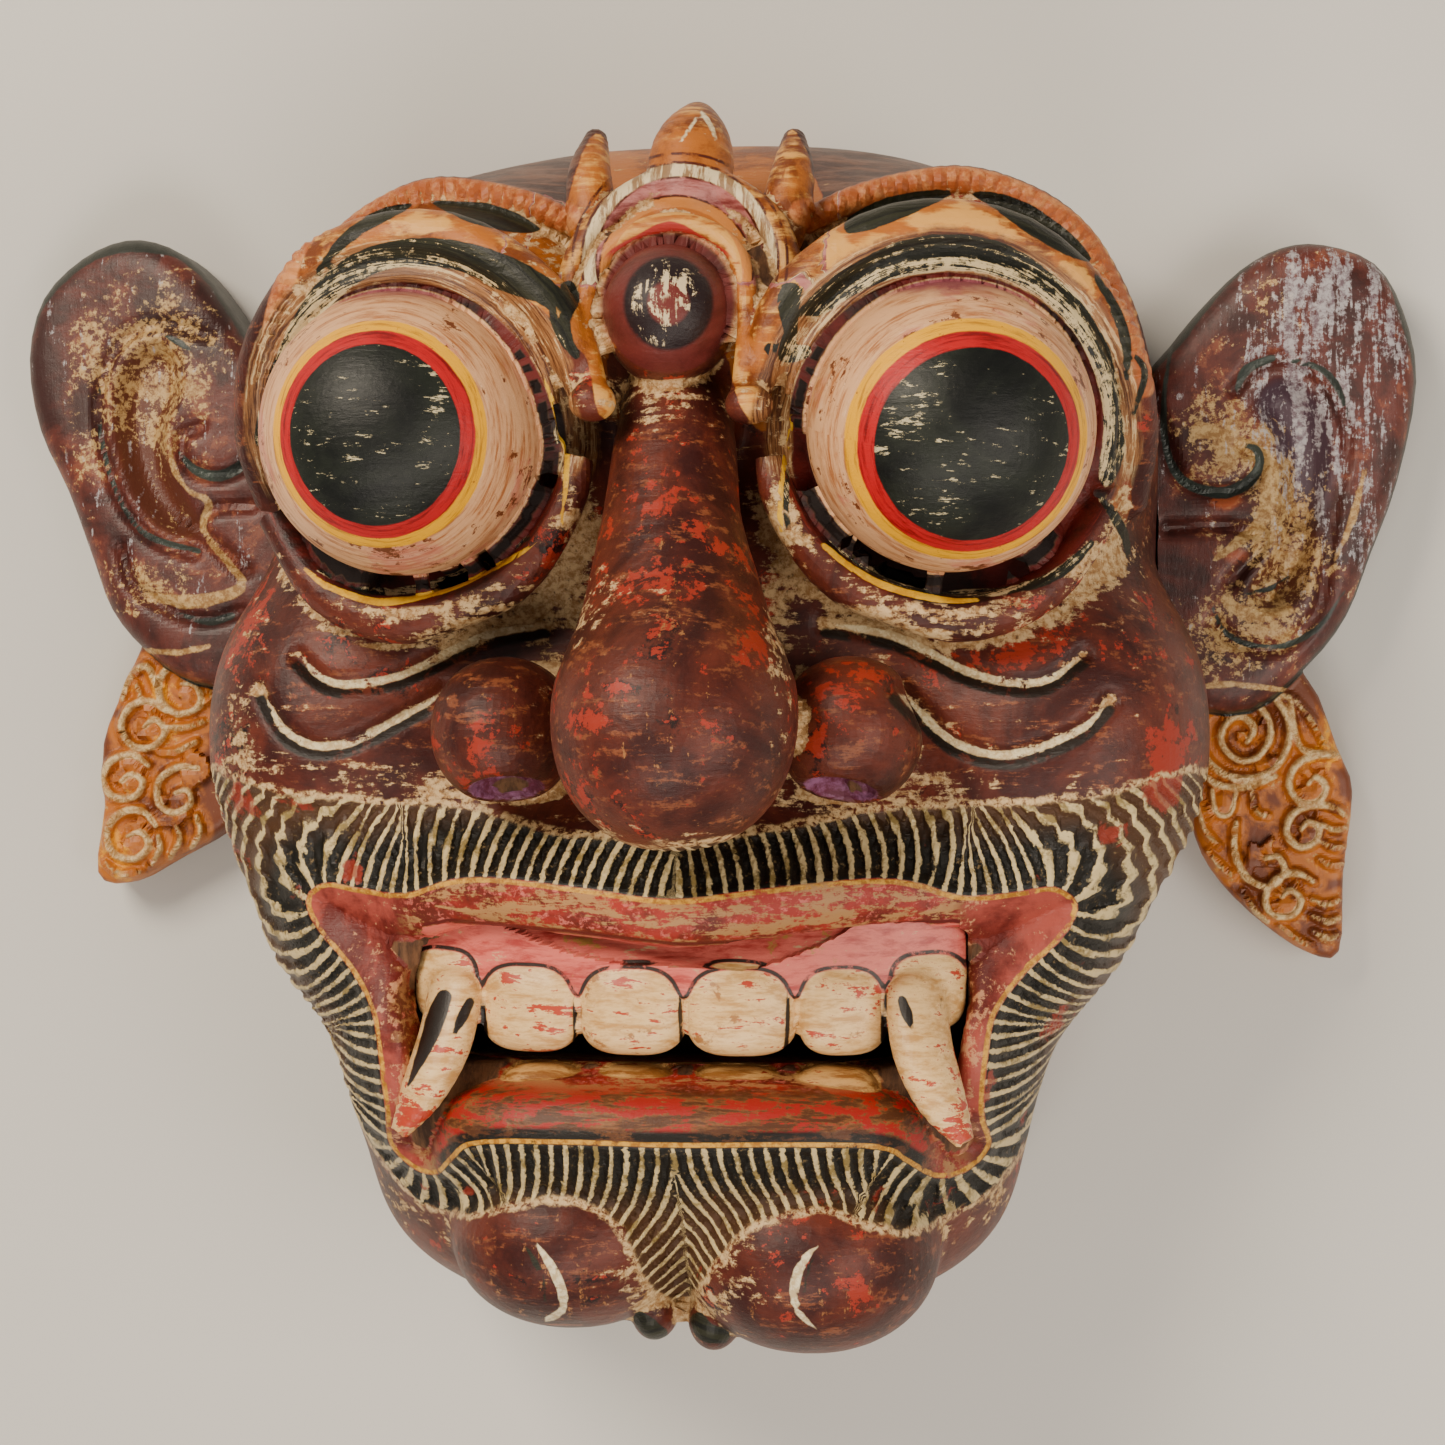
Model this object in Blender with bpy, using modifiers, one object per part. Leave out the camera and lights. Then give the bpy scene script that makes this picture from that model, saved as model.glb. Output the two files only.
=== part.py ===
"""A carved and painted wooden demon mask with bulging eyes, bared fangs and separate ears.

It lies on the flat rim of its back, face up. Metres, +Z out of the face, +Y towards the crown and
+X to the right of someone who looks at it. The carving is drawn in carving units: 278 of them make
the mask's height, so a unit is one millimetre on this mask.
"""

import math

import bmesh
import bpy
import numpy as np

# Driving sizes, in metres
MASK_HEIGHT = 0.278
WALL = 0.014
HOLLOW_DEPTH = 0.079
EAR_LIFT = 0.004
EAR_THICKNESS = 0.024
PENDANT_THICKNESS = 0.014
TEETH_THICKNESS = 0.013
SLIT_WIDTH = 0.0032
JOINT_GAP = 0.0004

# How finely the wood is cut, as triangles in each finished piece
FACE_TRIANGLES = 6500
EAR_TRIANGLES = 980
TEETH_TRIANGLES = 720

UNITS_HIGH = 278
UNIT = MASK_HEIGHT / UNITS_HIGH
ORIGIN_SHIFT = np.array((4.0, -4.0, 0.0))

# Places on the carving, in carving units
EYE = np.array((59.0, 65.5, 118.0))
EYE_RADIUS = 30.5
SOCKET_RADIUS = 33.2
SOCKET_SHIFT = np.array((-1.6, -2.6, 8.0))
TEETH_FRONT = 111.5
TEETH_BEND = 0.0040
LOWER_TEETH_TOP = -71.8
SLIT_OUT = 0.3
HEAD_HALF_WIDTH = 108.0
JAW_HALF_WIDTH = 72.0
CUT_BACK = 40.0
FAR = 30.0


# Shapes that the carver's cuts are measured from

def dome(centre, radii, power=2.0, blend=6.0):
    """An egg or a rounder-cornered block: higher powers fill the corners."""
    return {"centre": np.array(centre, float), "radii": np.array(radii, float),
            "power": power, "blend": blend}


def smooth_path(points, steps=4):
    """The curve through the points, with the same number of steps in each span."""
    p = np.array(points, float)
    p = np.vstack([2 * p[0] - p[1], p, 2 * p[-1] - p[-2]])
    out = []
    for a, b, c, d in zip(p[:-3], p[1:-2], p[2:-1], p[3:]):
        for t in np.arange(steps) / steps:
            out.append(0.5 * (2 * b + (c - a) * t + (2 * a - 5 * b + 4 * c - d) * t ** 2
                              + (3 * b - a - 3 * c + d) * t ** 3))
    return np.array(out + [p[-2]])


def roll(points, blend=4.0, steps=4):
    """A tapering roll of wood along points that each give x, y, z and a radius."""
    return {"path": smooth_path(points, steps), "blend": blend}


def mirrored(masses):
    """The masses of the right half, each with its twin on the left."""
    out = []
    for mass in masses:
        twin = dict(mass)
        for key in ("centre", "path"):
            if key in mass:
                twin[key] = mass[key].copy()
                twin[key][..., 0] *= -1
        out += [mass, twin]
    return out


def closed_loop(points, steps=3):
    """A smooth closed outline through the points, without its last point twice."""
    p = [tuple(q) for q in points]
    count = len(p) * steps
    return smooth_path(p[-1:] + p + p[:2], steps)[steps:steps + count]


def dome_distance(points, mass):
    q = np.abs((points - mass["centre"]) / mass["radii"]) + 1e-6
    power = mass["power"]
    size = (q ** power).sum(1) ** (1 / power)
    slope = np.linalg.norm(q ** (power - 1) / mass["radii"], axis=1) / size ** (power - 1)
    return (size - 1) / slope


def roll_distance(points, mass):
    best = np.full(len(points), FAR)
    for start, end in zip(mass["path"][:-1], mass["path"][1:]):
        along = end[:3] - start[:3]
        t = np.clip((points - start[:3]) @ along / (along @ along), 0, 1)
        away = np.linalg.norm(points - start[:3] - t[:, None] * along, axis=1)
        best = np.minimum(best, away - start[3] - t * (end[3] - start[3]))
    return best


def mass_distance(points, mass):
    """How far each point is from a mass, negative inside; past FAR it only says FAR."""
    if "path" in mass:
        path, radius = mass["path"], mass["path"][:, 3].max()
        low, high = path[:, :3].min(0) - radius, path[:, :3].max(0) + radius
    else:
        low, high = mass["centre"] - mass["radii"], mass["centre"] + mass["radii"]
    near = ((points > low - FAR) & (points < high + FAR)).all(1)
    result = np.full(len(points), FAR)
    measure = roll_distance if "path" in mass else dome_distance
    result[near] = measure(points[near], mass)
    return result


def smooth_union(a, b, blend):
    h = np.clip(blend - np.abs(a - b), 0, None) / blend
    return np.minimum(a, b) - h * h * blend / 4


def smooth_cut(a, b, blend):
    """What is left of a, a distance, when b is cut away from it."""
    return -smooth_union(-a, b, blend)


def union_distance(points, masses):
    d = mass_distance(points, masses[0])
    for mass in masses[1:]:
        d = smooth_union(d, mass_distance(points, mass), mass["blend"])
    return d


def line_distance(flat, line, closed=False):
    """Distance from flat points to a line in the plane, and how far along it they are."""
    best = np.full(len(flat), 1e6)
    place = np.zeros(len(flat))
    ends = np.vstack([line[1:], line[:1]]) if closed else line[1:]
    run = 0.0
    for a, b in zip(line, ends):
        along = b[:2] - a[:2]
        length = math.hypot(*along)
        t = np.clip((flat - a[:2]) @ along / length ** 2, 0, 1)
        away = np.linalg.norm(flat - a[:2] - t[:, None] * along, axis=1)
        place = np.where(away < best, run + t * length, place)
        best = np.minimum(best, away)
        run += length
    return best, place


def loop_distance(flat, loop):
    """Signed distance to a closed outline, negative inside it."""
    away, _ = line_distance(flat, loop, closed=True)
    inside = np.zeros(len(flat), bool)
    for a, b in zip(loop, np.vstack([loop[1:], loop[:1]])):
        crosses = (a[1] > flat[:, 1]) != (b[1] > flat[:, 1])
        rise = b[1] - a[1] if b[1] != a[1] else 1e-9
        inside ^= crosses & (flat[:, 0] < a[0] + (b[0] - a[0]) * (flat[:, 1] - a[1]) / rise)
    return np.where(inside, -away, away)


def flat_map(measure, low, high, spacing):
    """A measure of flat points, worked out once on a grid and then read between its points."""
    x = np.arange(low[0], high[0] + spacing, spacing)
    y = np.arange(low[1], high[1] + spacing, spacing)
    grid = np.stack(np.meshgrid(x, y, indexing="ij"), -1)
    values = measure(grid.reshape(-1, 2)).reshape(len(x), len(y))
    return {"low": np.array(low, float), "spacing": spacing, "values": values}


def read_map(grid, flat):
    values = grid["values"]
    place = (flat - grid["low"]) / grid["spacing"]
    place = np.clip(place, 0, np.array(values.shape) - 1.001)
    i, j = place.astype(int).T
    u, v = (place - place.astype(int)).T
    return ((values[i, j] * (1 - u) + values[i + 1, j] * u) * (1 - v)
            + (values[i, j + 1] * (1 - u) + values[i + 1, j + 1] * u) * v)


def step(value, start, end):
    """0 before start, 1 after end, and a smooth rise between them."""
    t = np.clip((value - start) / (end - start), 0, 1)
    return t * t * (3 - 2 * t)


# The face

def eye_ring(turns, radius, blend, steps=4):
    """A roll round the right eye. Each turn gives an angle, how far out, how high and how thick."""
    points = []
    for angle, out, height, thick in turns:
        a = math.radians(angle)
        points.append((EYE[0] + (radius + out) * math.cos(a), EYE[1] + (radius + out) * math.sin(a),
                       height, thick))
    return roll(points, blend, steps)


HEAD = [
    dome((-2, 28, 0), (HEAD_HALF_WIDTH, 116.5, 100), 2.9),
    dome((-2, -16, 0), (105, 84, 96), 2.2, 12),
    dome((-4.5, -97, 36), (77, 41, 62), 2.4, 12),
    dome((-4, -61, 45), (83, 53, 82), 2.6, 14),
    dome((-53, 74, 58), (45.5, 54, 60), 2.3, 14),
    dome((55, 74, 58), (48, 51, 60), 2.3, 14),
    dome((-79, 0, 60), (37, 44, 44), 2.2, 14),
    dome((79, 0, 60), (37, 44, 44), 2.2, 14),
    dome((-68, -36.5, 54), (37, 33, 44), 2.2, 14),
    dome((64, -35.5, 54), (35, 31, 44), 2.2, 14),
]

CHIN = [
    dome((-27, -111, 80), (28, 22, 34), 2.1, 2.5),
    dome((26.5, -114, 80), (29, 23.5, 34), 2.1, 2.5),
    dome((-8.5, -128.5, 84), (5.5, 7, 9), 2, 2),
    dome((5, -130, 84), (6, 7.5, 9), 2, 2),
]

NOSE = [
    roll([(-0.5, 80, 102, 11), (0, 62, 115, 13), (0.5, 44, 124, 15), (2, 26, 131, 19),
          (3.2, 10, 138, 23)], 9, 5),
    dome((3.6, 1.5, 145), (24.5, 24.5, 27), 2.1, 8),
] + mirrored([dome((37.5, 1.5, 113), (15.5, 16, 20), 2.1, 2.5)])

BROWS = mirrored([
    eye_ring([(168, 0, 125, 3.6), (140, 1, 125, 5.5), (105, 1, 122, 5.8), (70, 0, 116, 5.8),
              (35, -2, 105, 5.6), (5, -2, 92, 5.0), (-18, 0, 80, 3.0)], 41.5, 4),
    eye_ring([(178, 0, 120, 2.6), (150, 0, 123, 3.4), (105, 0.5, 122, 3.6), (60, 0.5, 117, 3.6),
              (20, 0, 108, 3.2), (-15, 0, 100, 2.6)], 33.2, 3),
    dome((24, 87, 120), (5.5, 8, 8), 2.0, 2),
])

LIDS = mirrored([
    eye_ring([(185, 1, 116, 3), (205, 1, 117, 4), (235, 1.5, 114, 4.8), (270, 2, 111, 5.2),
              (300, 1, 107, 4.6), (335, -1, 101, 3.4)], 38.0, 6),
])

HAIRLINE = [
    roll([(27, 113, 99, 2.6), (40, 119, 95, 3), (59, 122.5, 92, 3.2), (74, 118.5, 91, 3.2),
          (85, 111, 90, 3.2), (92, 101, 86, 3.2), (97, 89, 80, 3), (99.5, 76, 74, 2.4)], 3),
    roll([(-24, 113, 99, 2.6), (-37, 119, 95, 3), (-56, 122.5, 92, 3.2), (-69, 118.5, 91, 3.2),
          (-79, 111, 90, 3.2), (-84.5, 101, 86, 3.2), (-88.5, 89, 80, 3), (-91, 76, 74, 2.4)], 3),
]

CROWN_PLATE = [dome((0, 97, 92), (23, 25, 25), 2.6, 4)]
CROWN_ARCHES = [
    roll([(-15.5, 73, 128, 3), (-18.5, 90, 122, 2.5), (-13.5, 104, 119, 2.5), (0, 109.5, 118, 2.6),
          (12.5, 104, 119, 2.5), (16.5, 90, 122, 2.5), (16.5, 72, 128, 3)], 1.5, 5),
    roll([(-20, 80, 114, 2.4), (-22.5, 97, 114, 3.2), (-17.5, 110, 112, 3.4), (-8, 118, 110, 3.4),
          (1.5, 120.5, 109, 3.6), (11, 118, 110, 3.4), (20.5, 110, 112, 3.4), (24.5, 97, 114, 3.2),
          (22, 80, 114, 2.4)], 1.5, 5),
    dome((-15.5, 70.5, 130), (5.0, 4.2, 4.6), 2, 1.5),
    dome((17.5, 69.5, 130), (5.0, 4.2, 4.6), 2, 1.5),
    dome((-1, 90, 118), (14, 15, 16.5), 2, 1),
]
FLAMES = [
    roll([(1.6, 118, 106, 9.5), (2.2, 127, 103, 9), (2.6, 134, 98, 5.5), (2.6, 138.5, 95, 2)], 2),
    roll([(-18.5, 110, 106, 5.5), (-20.5, 122, 103, 5), (-20.2, 131, 97, 3), (-20, 134.5, 95, 1.5)], 2),
    roll([(21.5, 109, 106, 5.5), (24, 121, 103, 5), (24, 130, 97, 3), (23.8, 133.5, 95, 1.5)], 2),
]

NOSTRILS = mirrored([dome((35.5, -12.5, 120), (8, 6, 11), 2)])
SOCKETS = mirrored([dome(EYE + SOCKET_SHIFT, (SOCKET_RADIUS,) * 3, 2)])
EYEBALLS = mirrored([dome(EYE, (EYE_RADIUS,) * 3, 2, 0.5)])
LOWER_TEETH = [dome((x, LOWER_TEETH_TOP - 9.5, 97), (half, 9.5, 9.5), 3, 0.6)
               for x, half in ((-31, 10.4), (-10.5, 10.6), (11.5, 11.6), (33, 10.4))]

MOUTH_HALF = [(0, -34), (18, -32), (40, -30), (51, -31), (61, -34), (72, -33.3), (81, -32.3),
              (86, -36.5), (83, -43.5), (75, -51.3), (68.5, -60), (66.5, -70), (65.7, -82),
              (67, -91), (62, -96.5), (55, -97), (49, -92), (43, -88), (24, -86.8), (0, -87)]
MOUTH = closed_loop(MOUTH_HALF + [(-x, y) for x, y in MOUTH_HALF[-2:0:-1]])
MOUTH_FLOOR = 28.0

UPPER_WRINKLE = [(31, 25), (46.5, 22), (63.7, 13.7), (78, 12), (87, 18)]
RIGHT_WRINKLE = [(47.4, 10.4), (58.3, -0.5), (71.2, -3.7), (86.2, 1.7), (92.6, 8.1)]
LEFT_WRINKLE = [(-54, 10.5), (-60.4, 6.1), (-76.2, -1.7), (-88, 0.5), (-95.6, 10.6)]
WRINKLES = [smooth_path(line) for line in
            (UPPER_WRINKLE, [(-x, y) for x, y in UPPER_WRINKLE], RIGHT_WRINKLE, LEFT_WRINKLE)]

BEARD_HALF = [(0, -22), (26, -19), (46, -15), (66, -14.5), (90, -12.5), (118, -9), (122, -45),
              (92, -72), (76, -93), (62, -106), (47, -107), (31, -101), (13, -107), (-3, -127)]
BEARD_LEFT = [(-13, -105.5), (-28, -99.5), (-47, -105), (-62, -106), (-76, -93), (-92, -72),
              (-122, -45), (-118, -9), (-90, -12.5), (-66, -14.5), (-46, -16), (-26, -21)]
BEARD = closed_loop(BEARD_HALF + BEARD_LEFT)
LOCK_SPACING = 6.6
LOCK_DEPTH = 1.0

# One behind the eyes and nose and one behind the mouth, each a wall inside the outer form
INSIDE = WALL / UNIT
HOLLOWS = [
    dome((-1, 14, 0), (HEAD_HALF_WIDTH - INSIDE, 108, HOLLOW_DEPTH / UNIT), 2.5),
    dome((-3, -54, 0), (JAW_HALF_WIDTH - INSIDE, 64, HOLLOW_DEPTH / UNIT - INSIDE), 2.3),
]

SOLID_MASSES = HEAD + CHIN + NOSE + BROWS + LIDS + HAIRLINE + CROWN_PLATE + FLAMES + CROWN_ARCHES


def lip_reach(flat):
    """How wide the lip's slope is: narrow beside the fangs and wide in the corners."""
    side = np.abs(flat[:, 0])
    corner = step(side, 58, 74) * step(flat[:, 1], -60, -47)
    beside = step(side, 50, 62) * step(-flat[:, 1], 48, 58)
    return 10.5 + 9.5 * corner - 4.5 * beside


def mouth_depth(flat, signed):
    """How deep the mouth is cut below the face: rolled lips, then a drop to the floor."""
    inward = np.clip(-signed, 0, None)
    reach = lip_reach(flat)
    share = np.clip(inward / reach, 0, 1)
    lip = 0.95 * reach * (0.45 * share + 0.55 * (1 - np.sqrt(1 - share ** 2 * 0.98)))
    return np.minimum(lip + 5 * np.clip(inward - reach, 0, None), MOUTH_FLOOR)


def beard_locks(flat, signed_mouth, place):
    """Grooves between the locks of hair round the mouth, fading out at the hair's edge."""
    inside = step(-loop_distance(flat, BEARD), 0, 2.5) * step(signed_mouth, 0.5, 2.5)
    slant = 0.018 * np.sign(flat[:, 0]) * signed_mouth ** 2
    wave = np.cos(2 * math.pi * (place + slant) / LOCK_SPACING)
    return inside * LOCK_DEPTH * (0.5 + 0.5 * wave)


def face_relief(flat):
    """How deep the mouth, the locks and the wrinkles are cut below the plain masses."""
    signed = loop_distance(flat, MOUTH)
    _, place = line_distance(flat, MOUTH, closed=True)
    relief = mouth_depth(flat, signed) + beard_locks(flat, signed, place)
    for line in WRINKLES:
        away, _ = line_distance(flat, line)
        relief += 1.9 * np.exp(-(away / 2.0) ** 2)
    return relief


def face_distance(points, relief):
    d = union_distance(points, SOLID_MASSES)
    for mass in SOCKETS:
        d = smooth_cut(d, mass_distance(points, mass), 1.0)
    for mass in NOSTRILS:
        d = smooth_cut(d, mass_distance(points, mass), 2.0)
    d += read_map(relief, points[:, :2]) * step(points[:, 2], 30, 70)
    for mass in EYEBALLS + LOWER_TEETH:
        d = smooth_union(d, mass_distance(points, mass), mass["blend"])
    return d


# The upper teeth, drawn on a straight board that is bent afterwards

BOARD_HALF = TEETH_THICKNESS / UNIT / 2
BOARD = dome((0.5, -46, TEETH_FRONT - BOARD_HALF), (61, 10.5, BOARD_HALF), 8)
TOOTH_PLACES = ((-33.7, 11.6), (-10.4, 11.9), (13.4, 12.1), (35.2, 9.8))
TEETH = [dome((x, -58.8, TEETH_FRONT - 6), (half, 10.2, 7.6), 3, 0.6) for x, half in TOOTH_PLACES]
FANGS = mirrored([
    dome((53, -55, TEETH_FRONT - 5), (8.5, 9, 6), 3, 1),
    roll([(51, -57, 111, 6.5), (52.5, -67, 116, 6.4), (56.5, -77, 121, 5.2), (61.5, -86, 124, 2.2)], 1.5),
])
TEETH_MASSES = [BOARD] + TEETH + FANGS


def teeth_distance(points):
    return union_distance(points, TEETH_MASSES)


def bend(points):
    """The board follows the curve of the jaw."""
    bent = points.copy()
    bent[:, 2] -= TEETH_BEND * bent[:, 0] ** 2
    return bent


# The ears, each with its scrollwork pendant

RIGHT_EAR = {
    "side": 1,
    "ear": [(96, 60), (101, 84), (108.6, 94.4), (115.8, 103.2), (125.6, 112.8), (135.3, 118),
            (145.5, 118.6), (157.8, 114.2), (164.8, 102.8), (168, 85.6), (163.3, 61.5), (157, 44.3),
            (151, 29), (142, 17.3), (128, 6), (112, 8), (100, 20), (94, 40)],
    "pendant": [(141.5, 15), (149.6, -3.6), (153, -13.5), (150.8, -33), (149.8, -52.4), (142.4, -52.8),
                (132.1, -46.2), (121.7, -36.2), (115.5, -25), (112.6, -8), (113, 10), (126, 17)],
    "hollow": [(133, 86), (141, 84), (147, 74), (147.5, 60), (143, 44), (139, 33), (131, 30),
               (127, 36), (133, 46), (134, 58), (133, 70), (128, 79)],
    "grooves": [
        [(101, 92), (106.5, 74), (110.6, 62.5), (118.5, 58.5), (126.3, 60.2), (130, 66), (126, 69.5)],
        [(124, 83), (129.8, 89.6), (138.3, 90.2), (146.7, 83.6), (150.5, 71), (147.5, 56),
         (145.5, 40), (143.5, 30), (135, 21.5), (125, 22.5), (119, 27)],
        [(108, 50), (122, 50.5), (131, 47), (123, 37)],
    ],
    "scrolls": [(127.8, 0.7, 10.5, 1), (141.9, -10.3, 6, -1), (140.1, -21.8, 5.6, 1),
                (130.8, -28, 5.4, -1), (135.8, -39.8, 5.8, 1), (120.5, -17, 4.8, -1)],
}
LEFT_EAR = {
    "side": -1,
    "ear": [(-96, 60), (-107, 87), (-118.4, 97), (-125.3, 107.5), (-132.8, 117.2),
            (-141.5, 123.5), (-152.4, 125.6), (-164.6, 121.5), (-175.3, 111.6), (-179.2, 95.8),
            (-176.2, 77.5), (-168.6, 61.9), (-161.6, 44.2), (-156.4, 31.6), (-147.4, 21.5),
            (-134, 13), (-114, 12), (-99, 24), (-94, 42)],
    "pendant": [(-147.5, 26), (-155, 12), (-160.5, -2), (-160.2, -18), (-162, -35), (-154, -37.6),
                (-141.2, -31), (-128.8, -24), (-119, -14), (-115, 4), (-120, 22), (-134, 26)],
    "hollow": [(-141, 99), (-149, 97), (-154.5, 88), (-154.5, 74), (-150, 60), (-142, 51),
               (-133, 49), (-131, 54), (-138, 66), (-139.5, 76), (-136, 85), (-136, 94)],
    "grooves": [
        [(-104, 84), (-112, 73), (-122.3, 65.9), (-129.3, 65.3), (-135.6, 68.8), (-136, 75),
         (-131.4, 77)],
        [(-129, 100), (-141, 103), (-152, 99), (-157.8, 88), (-157.2, 73), (-151.5, 58),
         (-143, 49), (-133, 45.5)],
        [(-152, 47), (-149, 38), (-140, 32), (-130, 29), (-121, 31)],
        [(-118, 57.5), (-128, 56.5), (-131, 51.5), (-125, 46), (-119.5, 41)],
    ],
    "scrolls": [(-147.5, 4, 6.6, 1), (-152, -9, 5.6, -1), (-142, -18.6, 5.6, 1),
                (-150.8, -25.4, 6, 1), (-135, 12, 5.8, -1), (-135.5, -8, 5.4, -1)],
}


def scroll_line(x, y, size, turn):
    """A spiral of nearly two turns that opens towards its outer end."""
    angles = np.linspace(0, 3.6 * math.pi, 28)
    radii = size * (0.16 + 0.78 * angles / angles[-1])
    return np.column_stack([x + radii * np.cos(turn * angles + 2.2), y + radii * np.sin(turn * angles + 2.2)])


def ear_top(flat, ear):
    """How high the ear's front stands: hollowed in its middle and grooved round the folds."""
    hollow = loop_distance(flat, closed_loop(ear["hollow"]))
    top = EAR_THICKNESS / UNIT - 7.0 * step(-hollow, -1.5, 6)
    top -= 5.0 * step(np.abs(flat[:, 0]), 138, 176)
    for line in ear["grooves"]:
        away, _ = line_distance(flat, smooth_path(line))
        top -= 2.4 * np.exp(-(away / 1.9) ** 2)
    return top


def pendant_top(flat, ear):
    """How high the pendant's front stands, with its scrolls as ridges."""
    crest = np.full(len(flat), FAR)
    for scroll in ear["scrolls"]:
        away, _ = line_distance(flat, scroll_line(*scroll))
        crest = np.minimum(crest, away)
    return PENDANT_THICKNESS / UNIT - 1.2 + 2.6 * np.exp(-(crest / 1.5) ** 2)


def ear_maps(ear):
    outline = np.array(ear["ear"] + ear["pendant"])
    low, high = outline.min(0) - 8, outline.max(0) + 8
    measures = (
        lambda flat: loop_distance(flat, closed_loop(ear["ear"])),
        lambda flat: ear_top(flat, ear),
        lambda flat: loop_distance(flat, closed_loop(ear["pendant"])),
        lambda flat: pendant_top(flat, ear),
    )
    return [flat_map(measure, low, high, 0.6) for measure in measures]


def ear_distance(points, maps):
    height = points[:, 2] - EAR_LIFT / UNIT
    round_ear, top, round_pendant, crest = (read_map(grid, points[:, :2]) for grid in maps)
    disc = smooth_cut(round_ear, top - height, 9)
    plate = smooth_cut(round_pendant, crest - height, 3.5)
    return smooth_cut(smooth_union(disc, plate, 2), height, 2)


# Cutting the wood

def clear_scene():
    for obj in list(bpy.data.objects):
        bpy.data.objects.remove(obj, do_unlink=True)


def new_object(name, mesh):
    obj = bpy.data.objects.new(name, mesh)
    bpy.context.scene.collection.objects.link(obj)
    return obj


def apply_modifiers(obj):
    bpy.context.view_layer.update()
    graph = bpy.context.evaluated_depsgraph_get()
    mesh = bpy.data.meshes.new_from_object(obj.evaluated_get(graph))
    obj.modifiers.clear()
    old, obj.data = obj.data, mesh
    bpy.data.meshes.remove(old)


def coordinates(obj):
    points = np.empty(len(obj.data.vertices) * 3)
    obj.data.vertices.foreach_get("co", points)
    return points.reshape(-1, 3)


def set_coordinates(obj, points):
    obj.data.vertices.foreach_set("co", points.ravel())
    obj.data.update()


def add_dome(mesh, mass, around=40):
    """A sphere pulled out to the dome's shape, joined to the blank."""
    made = bmesh.ops.create_uvsphere(mesh, u_segments=around, v_segments=around // 2, radius=1)
    for vert in made["verts"]:
        q = np.abs(np.array(vert.co)) + 1e-6
        scale = (q ** mass["power"]).sum() ** (-1 / mass["power"])
        vert.co = mass["centre"] + np.array(vert.co) * scale * mass["radii"]


def add_roll(mesh, mass):
    """A curve with a round bevel that tapers along the roll, joined to the blank."""
    curve = bpy.data.curves.new("roll", "CURVE")
    curve.dimensions = "3D"
    curve.bevel_depth = 1
    curve.bevel_resolution = 3
    curve.use_fill_caps = True
    spline = curve.splines.new("POLY")
    spline.points.add(len(mass["path"]) - 1)
    for point, (x, y, z, radius) in zip(spline.points, mass["path"]):
        point.co = (x, y, z, 1)
        point.radius = radius
    obj = new_object("roll", curve)
    tube = bpy.data.meshes.new_from_object(
        obj.evaluated_get(bpy.context.evaluated_depsgraph_get()))
    mesh.from_mesh(tube)
    bpy.data.objects.remove(obj)
    bpy.data.curves.remove(curve)
    bpy.data.meshes.remove(tube)


def blank(name, masses):
    """The rough blank: every mass of wood, overlapping, in one mesh."""
    mesh = bmesh.new()
    for mass in masses:
        if "path" in mass:
            add_roll(mesh, mass)
        else:
            add_dome(mesh, mass)
    bmesh.ops.remove_doubles(mesh, verts=mesh.verts, dist=1e-4)
    data = bpy.data.meshes.new(name)
    mesh.to_mesh(data)
    mesh.free()
    return new_object(name, data)


def flat_blank(name, loop, low, high):
    """A board of the outline's shape, filled and as thick as low to high."""
    curve = bpy.data.curves.new(name, "CURVE")
    curve.dimensions = "2D"
    curve.fill_mode = "BOTH"
    curve.extrude = (high - low) / 2
    spline = curve.splines.new("POLY")
    spline.points.add(len(loop) - 1)
    for point, (x, y) in zip(spline.points, loop):
        point.co = (x, y, 0, 1)
    spline.use_cyclic_u = True
    guide = new_object(name, curve)
    guide.location.z = (low + high) / 2
    bpy.context.view_layer.update()
    made = bpy.data.meshes.new_from_object(
        guide.evaluated_get(bpy.context.evaluated_depsgraph_get()))
    made.transform(guide.matrix_world)
    bpy.data.objects.remove(guide)
    bpy.data.curves.remove(curve)
    mesh = bmesh.new()
    mesh.from_mesh(made)
    bmesh.ops.remove_doubles(mesh, verts=mesh.verts, dist=1e-4)
    bmesh.ops.recalc_face_normals(mesh, faces=mesh.faces)
    mesh.to_mesh(made)
    mesh.free()
    return new_object(name, made)


def remesh(obj, voxel):
    modifier = obj.modifiers.new("even skin", "REMESH")
    modifier.mode = "VOXEL"
    modifier.voxel_size = voxel
    apply_modifiers(obj)


def settle(points, distance, rounds, reach):
    """Moves points along the slope of a distance until they lie on the carved surface."""
    small = 0.25
    for _ in range(rounds):
        d = distance(points)
        slope = np.empty_like(points)
        for axis in range(3):
            moved = points.copy()
            moved[:, axis] += small
            slope[:, axis] = (distance(moved) - d) / small
        steep = np.clip((slope ** 2).sum(1), 0.3, None)
        move = (d / steep)[:, None] * slope
        length = np.linalg.norm(move, axis=1)
        points = points - move * np.minimum(1, reach / np.maximum(length, 1e-9))[:, None]
    return points


def relax(obj, points, times):
    """Evens out the skin by drawing each point towards the middle of its neighbours."""
    edges = np.empty(len(obj.data.edges) * 2, np.int64)
    obj.data.edges.foreach_get("vertices", edges)
    a, b = edges.reshape(-1, 2).T
    count = np.bincount(np.concatenate([a, b]), minlength=len(points))[:, None]
    for _ in range(times):
        total = np.zeros_like(points)
        for axis in range(3):
            total[:, axis] = (np.bincount(a, points[b, axis], len(points))
                              + np.bincount(b, points[a, axis], len(points)))
        points = 0.5 * points + 0.5 * total / np.maximum(count, 1)
    return points


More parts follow.
